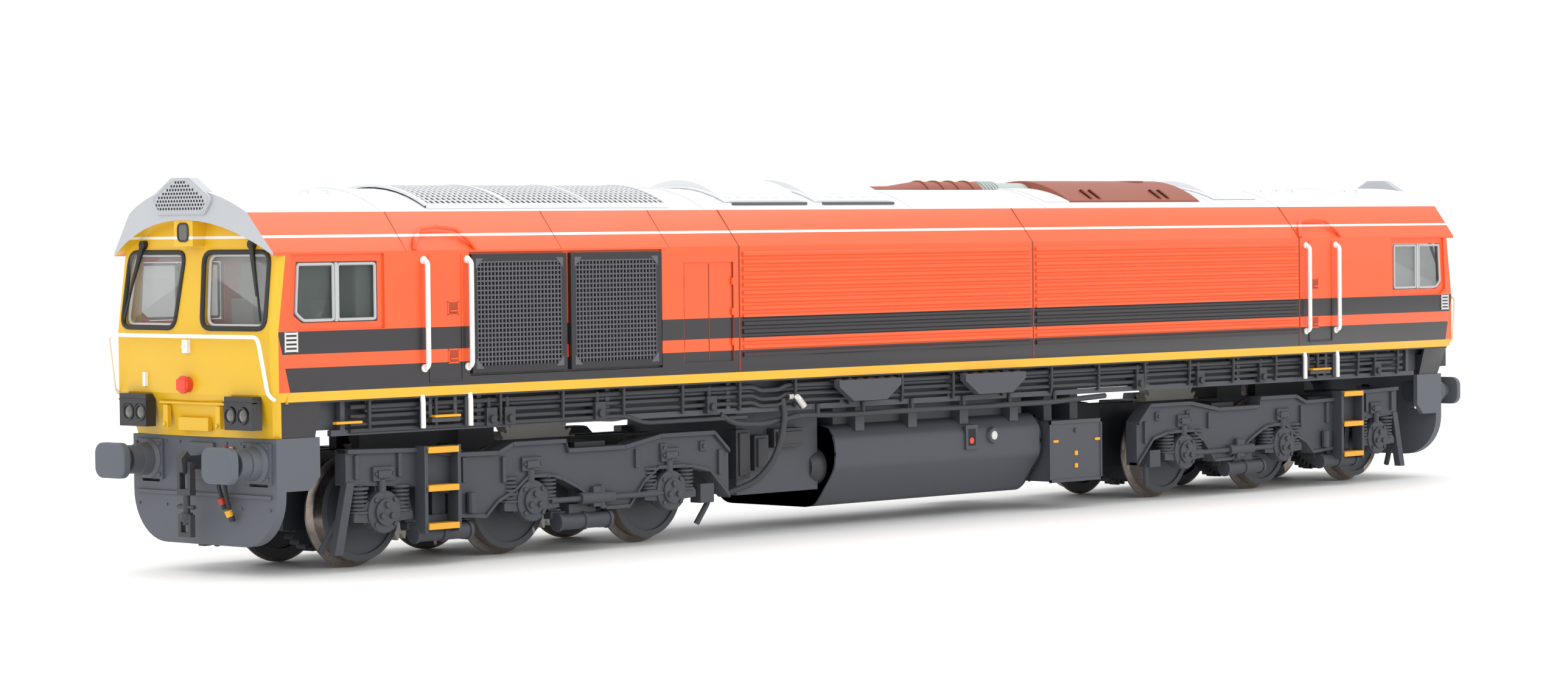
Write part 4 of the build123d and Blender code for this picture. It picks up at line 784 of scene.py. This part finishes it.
fitted(bm, "beam_rivets_and_collars", beam_lit_grey, "buffer_beams", 0.04, "x")
buffer_grey = sprayed("buffer_grey_enamel", "#565C64", 0.6)
for cab in ("one", "two"):
    for side in ("left", "right"):
        softened(f"buffer_{cab}_{side}", buffer_grey, 0.12)
hook_black = sprayed("blackened_brass", "#36373B", 0.5)
softened("drawhooks", hook_black, 0.12)
for cab in ("one", "two"):
    softened(f"coupling_link_{cab}", hook_black, 0.1)
rubber_hose = sprayed("black_rubber_hose", "#2A2A2D", 0.65)
tap_yellow = sprayed("yellow_tap_enamel", "#E9A21C", 0.4)
tap_red = sprayed("red_tap_enamel", "#B8322A", 0.4)
hose_runs = ((-6.3, 6.8), (-4.9, 5.2))
bm = blank()
for y, drop in hose_runs:
    wire(bm, [(beam_face, y, 14.6), (134.1, y, 14.6), (134.7, y, 13.4),
              (134.5, y * 1.04, 14.6 - drop * 0.6),
              (133.8, y * 1.08, 14.6 - drop)], 0.3, 1.2, 10)
    rod(bm, (133.9, y * 1.07, 15.1 - drop), (133.7, y * 1.09, 14.1 - drop), 0.42, 10)
fitted(bm, "brake_pipes", rubber_hose, "brake_hoses", 0.03, "x", True)
for name, material, (y, drop) in (("air_taps_yellow", tap_yellow, hose_runs[0]),
                                  ("air_taps_red", tap_red, hose_runs[1])):
    bm = blank()
    rod(bm, (134.3, y * 1.05, 15.6 - drop), (134.0, y * 1.07, 14.8 - drop), 0.52, 10)
    rod(bm, (133.3, y, 14.6), (133.3, y, 17.2), 0.32, 8)
    fitted(bm, name, material, "brake_hoses", 0.04, "x")

# ---- Underframe: floor, pipes, steps, tank and boxes ----------------------
# A die-cast floor with a tumbled, sprayed finish carries moulded pipe runs, brackets, steps, the fuel
# tank and the battery box. All are one charcoal; treads are bare etched plate or painted yellow.
# This charcoal is darkened as painted shade for the shade under the body.
softened("chassis_frame", underframe_shaded_charcoal, 0.1)
softened("fuel_tank", underframe_shaded_charcoal, 0.3)
softened("battery_box", underframe_shaded_charcoal, 0.15)
softened("underframe_pipework", underframe_shaded_charcoal, 0.08)
# A darker charcoal again for the pipes: painted shade for the shade under the sill.
pipe_shaded_charcoal = sprayed("pipe_charcoal_painted_shade", "#2F3034", 0.5)
bm = blank()
for z, radius in ((22.2, 0.5), (20.9, 0.42), (19.9, 0.42)):
    wire(bm, [(-121.0, -15.9, z), (-44.0, -15.9, z), (-42.5, -15.9, z - 0.6), (-38.5, -15.9, z - 0.6),
              (-37.0, -15.9, z), (120.0, -15.9, z)], radius * 0.8, 0.8, 8)
wire(bm, [(-121.0, -15.9, 19.0), (-70.0, -15.9, 19.0), (-66.0, -15.6, 17.8), (-45.0, -15.6, 17.8)], 0.35,
     1.5, 8)
for k in range(21):
    x = -118.0 + k * 11.8
    wire(bm, [(x, -16.5, 23.1), (x, -16.5, 20.4), (x + 0.5, -15.9, 18.9)], 0.3, 0.5, 6)
    block(bm, *span(x, 0.5), -16.3, -15.2, 22.6, 23.1)
for x in (-96.0, -92.6, -75.4, -53.0, 46.0, 62.0, 79.0, 112.0):
    block(bm, *span(x, 1.0), -16.6, -14.6, 18.7, 21.2)
    rod(bm, (x, -16.5, 19.6), (x, -17.0, 19.6), 0.55, 10)
    rod(bm, (x - 0.2, -16.0, 21.0), (x - 0.2, -16.0, 22.6), 0.35, 8)
fitted(bm, "sill_pipes_and_hangers", pipe_shaded_charcoal, "underframe_pipework", 0.05, "y")
bm = blank()
wire(bm, [(-37.5, -15.8, 20.2), (-37.5, -16.3, 17.6), (-38.6, -15.9, 12.0), (-41.8, -14.6, 8.0),
          (-46.0, -12.5, 6.6)],
     0.5, 3.0, 12)
wire(bm, [(-50.5, -15.6, 18.4), (-47.4, -15.6, 16.9), (-41.5, -15.6, 16.6), (-34.0, -15.6, 17.6),
          (-24.0, -15.9, 17.4),
          (24.0, -15.9, 17.4), (38.0, -15.6, 17.9)], 0.45, 1.6, 10)
for x in (-30.0, -20.0, -9.0, 3.0, 14.0, 25.0):
    rod(bm, (x, -15.9, 17.2), (x, -15.9, 19.2), 0.35, 8)
for x0, x1, z0, z1 in ((-44.5, -41.5, 8.5, 15.8), (-40.6, -37.6, 9.6, 14.8), (-36.4, -30.0, 12.8, 15.6)):
    block(bm, x0, x1, -13.0, -11.2, z0, z1)
    block(bm, x0 + 0.5, x1 - 0.5, -13.3, -12.8, z0 + 0.5, z1 - 0.5)
turned(bm, [(-27.4, 0.1), (-27.2, 2.4), (-26.0, 2.9), (-24.4, 2.9)], (0, -9.6, 9.4), "x", 24)
fitted(bm, "air_pipes", pipe_shaded_charcoal, "underframe_pipework", 0.04, "y")
bm = blank()
wire(bm, [(-35.6, -16.1, 20.4), (-35.6, -17.0, 20.4), (-34.4, -17.2, 19.0)], 0.62, 0.8, 12)
turned(bm, [(-37.0, 0.5), (-35.9, 0.5)], (0, -16.4, 20.5), "x", 12)
bare_nickel = grained("bright_nickel_plate", "#C9C6C1", 0.28, 0.7, 2.0, 0.2, 0.00004, {"Metallic": 1.0})
fitted(bm, "filler_elbows", bare_nickel, "underframe_pipework", 0.03, "y")
softened("underframe_steps", underframe_shaded_charcoal, 0.08)
bm = blank()
for x0, x1 in ((-27.6, -13.8), (1.0, 15.4)):
    for k in range(6):
        x = x0 + 1.0 + k * (x1 - x0 - 2.0) / 5
        block(bm, *span(x, 0.7), -17.35, -15.9, 22.5, 22.72)
        block(bm, *span(x, 0.12), -17.4, -15.9, 22.7, 22.84)
tread_brown = sprayed("rusty_tread_enamel", "#4A3833", 0.65)
fitted(bm, "tread_plates", tread_brown, "underframe_steps", 0.03, "y")
step_yellow = sprayed("step_yellow_enamel", "#E2A21F", 0.45)
bm = blank()
for outer_x, inner_x in door_sets:
    x0, x1 = min(outer_x, inner_x) + 1.6, max(outer_x, inner_x) - 1.6
    block(bm, x0, x1, -17.3, -16.0, 20.25, 20.6)
block(bm, -124.0, -119.5, -16.9, -16.0, 20.0, 20.35)
fitted(bm, "bucket_steps", step_yellow, "underframe_steps", 0.06, "y")
bm = blank()
for x in (-109.0, -100.4, 90.1, 99.4):
    wire(bm, [(x, -16.9, 23.4), (x, -17.1, 22.6), (x, -17.1, 18.9)], 0.36, 0.4, 10)
fitted(bm, "step_grab_posts", white_wire, "door_handrails", 0.05, "y")
bm = blank()
for x in (-24.3, 23.7):
    sheet(bm, rounded([(-12.4, 15.6), (-14.1, 13.4), (-14.1, 9.2), (-9.6, 3.1), (9.6, 3.1), (14.1, 9.2),
                       (14.1, 13.4),
                       (12.4, 15.6)], 1.8), "x", *span(x, 0.15))
block(bm, 5.4, 8.2, -14.35, -13.9, 10.6, 14.4)
turned(bm, [(-14.5, 1.2), (-14.0, 1.4)], (12.0, 0, 12.6), "y", 24)
block(bm, 24.7, 37.8, -15.15, -14.9, 4.4, 4.9)
block(bm, 24.7, 37.8, -15.15, -14.9, 13.7, 14.3)
for x in (24.7, 37.4):
    block(bm, x, x + 0.4, -15.15, -14.9, 4.4, 14.3)
rod(bm, (31.2, -14.9, 12.6), (31.2, -15.3, 12.6), 0.35, 10)
for x in (-18.0, -6.0, 6.0, 18.0):
    block(bm, *span(x, 1.0), -13.4, -11.4, 14.6, 18.8)
fitted(bm, "tank_and_box_trim", underframe_shaded_charcoal, "fuel_tank", 0.06, "y")
bm = blank()
block(bm, 6.0, 7.6, -14.42, -14.3, 11.2, 13.8)
fitted(bm, "sight_glass_slot", shade_black, "fuel_tank", 0, "y")
bm = blank()
rod(bm, (6.6, -14.3, 12.0), (6.6, -14.5, 12.0), 0.5, 12)
fitted(bm, "sight_glass_float", socket_red, "fuel_tank", 0.02, "y")
bm = blank()
turned(bm, [(-14.62, 0.55), (-14.5, 0.7), (-14.4, 0.7)], (12.0, 0, 12.6), "y", 20)
fitted(bm, "fuel_gauges", plate_white, "fuel_tank", 0, "y")
bm = blank()
for x, z in ((26.2, 11.0), (36.6, 11.0)):
    block(bm, *span(x, 0.6), -15.2, -15.0, *span(z, 0.2))
for z in (6.6, 8.6):
    block(bm, 30.9, 31.6, -15.2, -15.0, z, z + 0.7)
fitted(bm, "box_markings", tap_yellow, "battery_box", 0, "y")

# ---- Bogies ---------------------------------------------------------------
# Moulded side frames with the casting's webs, covers and lugs, springs and dampers moulded in, sit on
# a gear case in acetal. Ladders with yellow treads are etched and folded. All turns with the bogie.
# Side frame charcoal darkened as painted shade for the deep shade under the body.
bogie_shaded_charcoal = sprayed("bogie_charcoal_painted_shade", "#3B3E45", 0.58)
gear_case = sprayed("black_acetal_moulding", "#2E3036", 0.5)
bogie_place, axle_spread, axle_height = 87.0, 27.15, 7.8
for end, cab in ((-1, "one"), (1, "two")):
    softened(f"bogie_frame_{cab}", gear_case, 0.1)
    softened(f"bogie_sides_{cab}", bogie_shaded_charcoal, 0.25)

    def along_bogie(u):
        return end * (bogie_place + u)

    bm = blank()
    for axle in (-axle_spread, 0.0, axle_spread):
        x = along_bogie(axle)
        turned(bm, [(-15.05, 2.7), (-14.9, 2.9), (-14.1, 2.9), (-13.0, 2.9)], (x, 0, axle_height), "y", 28)
        for k in range(4):
            a = math.radians(45 + 90 * k)
            dx, dz = 2.35 * math.cos(a), 2.35 * math.sin(a)
            rod(bm, (x + dx, -15.0, axle_height + dz), (x + dx, -15.3, axle_height + dz), 0.35, 6)
        for s in (-1, 1):
            sheet(bm, [(x + s * 2.4, 6.4), (x + s * 5.2, 6.6), (x + s * 5.2, 7.6), (x + s * 2.6, 9.4)], "y",
                  -14.7, -13.4)
            cx = x + s * 3.7
            for turn_z in range(5):
                z = 8.3 + turn_z * 0.55
                turned(bm, [(z - 0.17, 1.25), (z - 0.17, 1.55), (z + 0.17, 1.55), (z + 0.17, 1.25)],
                       (cx, -13.4, 0), "z", 16)
            turned(bm, [(7.7, 1.7), (8.05, 1.7), (8.05, 1.2), (10.9, 1.0), (10.9, 1.7), (11.3, 1.7)],
                   (cx, -13.4, 0), "z", 16)
        block(bm, *span(x, 1.9), -14.9, -14.3, 12.0, 13.9)
        block(bm, *span(x, 1.2), -15.2, -14.3, 12.4, 13.4)
        for s in (-1, 1):
            rod(bm, (x + s * 1.5, -14.8, 12.95), (x + s * 1.5, -15.15, 12.95), 0.25, 6)
        rod(bm, (x - 0.2, -14.6, 10.4), (x - 0.2, -14.6, 12.2), 0.6, 10)
    # Webs along the top of the casting, and the raised panels between the arches.
    crest = [(33.5, 16.4), (21.5, 16.1), (14.0, 15.1), (6.3, 15.0), (3.6, 16.1), (-6.5, 16.1), (-6.9, 14.7),
             (-18.0, 14.7), (-25.4, 16.0), (-36.2, 16.0), (-39.3, 13.2)]
    for (u0, z0), (u1, z1) in zip(crest, crest[1:]):
        sheet(bm, [(along_bogie(u0), z0 - 0.55), (along_bogie(u1), z1 - 0.55), (along_bogie(u1), z1 + 0.08),
                   (along_bogie(u0), z0 + 0.08)], "y", -14.95, -12.6)
    arches = ((-39.4, 6.1), (-35.3, 10.1), (-31.1, 11.0), (-24.8, 11.0), (-21.9, 9.1), (-19.0, 5.8),
              (-14.4, 5.8),
              (-8.9, 9.0), (-5.8, 10.4), (-3.6, 11.0), (0.6, 11.0), (3.2, 9.2), (6.4, 7.8), (8.6, 5.9),
              (14.2, 6.3))
    for (u0, z0), (u1, z1) in zip(arches, arches[1:]):
        sheet(bm, [(along_bogie(u0), z0 - 0.05), (along_bogie(u1), z1 - 0.05), (along_bogie(u1), z1 + 0.5),
                   (along_bogie(u0), z0 + 0.5)], "y", -14.8, -12.8)
    for u, z0, z1 in ((12.6, 11.0, 14.4), (5.2, 10.6, 14.2), (-20.5, 11.4, 14.0), (-37.4, 9.6, 13.2),
                      (24.2, 12.4, 15.6),
                      (31.8, 12.4, 15.6)):
        block(bm, *span(along_bogie(u), 0.35), -14.85, -14.2, z0, z1)
    for u, z in ((-25.9, 13.9), (-34.0, 13.9)):
        block(bm, *span(along_bogie(u), 0.7), -14.75, -14.2, *span(z, 0.7))
        rod(bm, (along_bogie(u), -14.7, z), (along_bogie(u), -15.0, z), 0.35, 10)
    # Damper between the middle and inner axleboxes, brake cylinders, rods and shoes.
    wire(bm, [(along_bogie(-3.4), -14.8, 7.6), (along_bogie(-25.4), -14.8, 7.5)], 0.42, 1.0, 10)
    rod(bm, (along_bogie(-9.0), -14.8, 7.6), (along_bogie(-15.5), -14.8, 7.55), 0.85, 14)
    block(bm, *span(along_bogie(-12.4), 1.0), -15.2, -13.6, 6.3, 9.2)
    rod(bm, (along_bogie(-13.2), -15.0, 9.4), (along_bogie(-13.2), -15.0, 6.0), 0.4, 8)
    rod(bm, (along_bogie(11.6), -15.0, 9.6), (along_bogie(11.6), -15.0, 6.8), 0.7, 10)
    for u in (-10.4, 16.2):
        a, b = along_bogie(u - 4.8), along_bogie(u + 4.8)
        rod(bm, (a, -13.8, 4.4), (b, -13.8, 4.4), 1.15, 16)
        for t in (a, b, (a + b) / 2):
            turned(bm, [(t - 0.3, 1.35), (t + 0.3, 1.35)], (0, -13.8, 4.4), "x", 16)
        block(bm, *span(along_bogie(u), 5.6), -13.3, -12.0, 4.9, 5.9)
        for s in (-1, 1):
            sheet(bm, [(along_bogie(u) + s * 3.4, 4.8), (along_bogie(u) + s * 5.2, 4.8),
                       (along_bogie(u) + s * 6.0, 10.4), (along_bogie(u) + s * 4.8, 10.4)], "y", -12.6,
                       -11.4)
    # Lifeguard ahead of the outer wheel and the sanding pipes.
    wire(bm, [(along_bogie(33.0), -14.0, 12.2), (along_bogie(33.4), -13.6, 8.0),
              (along_bogie(35.2), -11.0, 2.6)],
         0.5, 1.0, 8)
    wire(bm, [(along_bogie(-34.6), -13.8, 7.4), (along_bogie(-36.2), -13.6, 6.0),
              (along_bogie(-34.6), -12.4, 2.4)],
         0.45, 1.0, 8)
    block(bm, *span(along_bogie(-34.8), 1.4), -14.6, -12.4, 5.6, 8.4)
    fitted(bm, f"side_frame_castings_{cab}", bogie_shaded_charcoal, f"bogie_sides_{cab}", 0.06, "y")
    bm = blank()
    ladder = along_bogie(17.9)
    for k in range(3):
        z = 5.5 + 5.2 * k
        block(bm, *span(ladder, 2.75), -16.55, -14.5, z, z + 0.35)
        block(bm, *span(ladder, 2.75), -16.6, -16.35, z - 0.5, z + 0.35)
    fitted(bm, f"ladder_treads_{cab}", step_yellow, f"bogie_sides_{cab}", 0.05, "y")

# ---- Wheelsets and drive --------------------------------------------------
# Steel axles carry wheels turned from plated brass, with blackened discs and bright treads. Gears are
# acetal, the worms turned brass, and the drive shafts moulded.
wheel_metal, tree, shader = new_material("turned_wheel_metal", {"Metallic": 1.0})
lathe_lines = add(tree, "ShaderNodeTexNoise", {"Vector": surface_place(tree, 0.5), "Scale": 1.0,
                                               "Detail": 4.0})
tint = add(tree, "ShaderNodeMix", {"Factor": lathe_lines.outputs[0], "A": linear("#6E6560"),
                                   "B": linear("#A49A92")},
           data_type="RGBA")
gloss = add(tree, "ShaderNodeMapRange", {"Value": lathe_lines.outputs[0], "To Min": 0.25, "To Max": 0.42})
cuts = add(tree, "ShaderNodeBump", {"Height": lathe_lines.outputs[0], "Strength": 0.1, "Distance": 0.00002})
for name, value in (("Base Color", tint.outputs[2]), ("Roughness", gloss.outputs[0]),
                    ("Normal", cuts.outputs[0])):
    tree.links.new(value, shader.inputs[name])
wheel_disc = sprayed("blackened_wheel_disc", "#3B3D42", 0.55)


def wheel_coat(centre_x):
    """Bright on the tread and flange, blackened inside the rim and on the bearing caps."""
    def pick(centre, normal):
        radius = math.hypot(centre.x - centre_x, centre.z - axle_height)
        return 0 if radius > 6.0 else 1
    return pick


for end, cab in ((-1, "one"), (1, "two")):
    for axle, u in (("outer", axle_spread), ("middle", 0.0), ("inner", -axle_spread)):
        node = f"{axle}_wheelset_{cab}"
        centre_x = end * (bogie_place + u)
        softened(node, wheel_metal, 0.03, (wheel_disc,), wheel_coat(centre_x))
        bm = blank()
        for k in range(3):
            a = math.radians(90 + 120 * k)
            x, z = centre_x + 1.0 * math.cos(a), axle_height + 1.0 * math.sin(a)
            rod(bm, (x, -15.35, z), (x, -15.75, z), 0.42, 10)
        turned(bm, [(-15.5, 0.45), (-15.3, 0.6)], (centre_x, 0, axle_height), "y", 12)
        turned(bm, [(-9.8, 2.5), (-9.6, 2.2), (-9.6, 1.4)], (centre_x, 0, axle_height), "y", 24)
        fitted(bm, f"{axle}_bearing_caps_{cab}", wheel_disc, node, 0.03, "y")
acetal_gear = sprayed("natural_acetal", "#E7E3D8", 0.45)
brass = grained("turned_brass", "#C9A45A", 0.3, 0.4, 3.0, 0.15, 0.00002, {"Metallic": 1.0})
motor_steel, tree, shader = new_material("zinc_plated_steel", {
    "Base Color": linear("#A6A8AB"), "Metallic": 1.0, "Roughness": 0.36})
spangle = add(tree, "ShaderNodeTexVoronoi", {"Vector": surface_place(tree, 1.2), "Scale": 1.0})
grain = add(tree, "ShaderNodeBump", {"Height": spangle.outputs[0], "Strength": 0.08, "Distance": 0.00002})
tree.links.new(grain.outputs[0], shader.inputs["Normal"])
for cab in ("one", "two"):
    for node in (f"worm_wheel_{cab}", f"outer_idler_{cab}", f"inner_idler_{cab}"):
        softened(node, acetal_gear, 0.0)
    softened(f"worm_{cab}", brass, 0.0)
    softened(f"drive_shaft_{cab}", gear_case, 0.05)
softened("motor_can", motor_steel, 0.15)
softened("motor_shaft", motor_steel, 0.02)
softened("motor_bearings", brass, 0.05)
softened("flywheels", brass, 0.15)
armature_iron = sprayed("varnished_armature", "#6B4330", 0.4)
softened("armature", armature_iron, 0.05)
bm = blank()
motor_height, winding_out = 28.02, 3.9
for k in range(5):
    a = math.radians(36 + 72 * k)
    for lane in (-0.9, 0.0, 0.9):
        y = winding_out * math.cos(a) - lane * math.sin(a)
        lift = winding_out * math.sin(a) + lane * math.cos(a)
        z = motor_height + lift
        wire(bm, [(-9.4, y * 0.7, motor_height + lift * 0.7), (-9.4, y, z), (7.0, y, z)], 0.3, 0.5, 6)
copper = grained("enamelled_copper_wire", "#B5623A", 0.32, 0.5, 2.0, 0.1, 0.00002, {"Metallic": 1.0})
fitted(bm, "armature_windings", copper, "armature", 0)

# ---- Inside: cabs, weights and electrics ----------------------------------
# Cab interiors are grey mouldings. Two die-cast weights straddle the drive shafts. The circuit board
# is green lacquered laminate with a plug-in decoder and a speaker in its box.
cab_plastic = sprayed("cab_grey_moulding", "#8E928F", 0.55)
softened("cab_interiors", cab_plastic, 0.15)
diecast = sprayed("tumbled_zinc_alloy", "#77787B", 0.5)
softened("ballast_weights", diecast, 0.3)
screw_steel = sprayed("blacked_screw_steel", "#3A3B3F", 0.35)
softened("chassis_screws", screw_steel, 0.05)
board_green = sprayed("green_board_lacquer", "#1F6B45", 0.35)
softened("circuit_board", board_green, 0.05)
component_black = sprayed("black_component_resin", "#26272A", 0.5)
softened("decoder", component_black, 0.2)
softened("speaker", component_black, 0.2)
bm = blank()
for x in (-40.0, -34.0, -28.0, 14.0, 22.0, 30.0):
    block(bm, *span(x, 1.6), -3.0, 3.0, 41.0, 41.7)
    for k in range(5):
        y = -2.4 + k * 1.2
        block(bm, *span(x, 2.2), *span(y, 0.2), 41.0, 41.25)
fitted(bm, "board_parts", component_black, "decoder", 0.05)
bm = blank()
for end in (-1, 1):
    for y in (-8.5, 8.5):
        x = end * 120.2
        block(bm, *span(x, 2.2), *span(y, 2.0), 30.6, 31.3)
        rod(bm, (end * 127.6, y * 0.8, 30.7), (end * 126.4, y * 0.8, 32.0), 0.25, 6)
    block(bm, end * 126.2, end * 130.0, -11.0, 11.0, 30.7, 31.5)
    for k in range(7):
        rod(bm, (end * 127.0, -9.0 + 3 * k, 31.4), (end * 127.0, -9.0 + 3 * k, 31.8), 0.4, 10)
seat_blue = sprayed("dark_seat_enamel", "#3C4350", 0.6)
fitted(bm, "cab_fittings", seat_blue, "cab_interiors", 0.1)
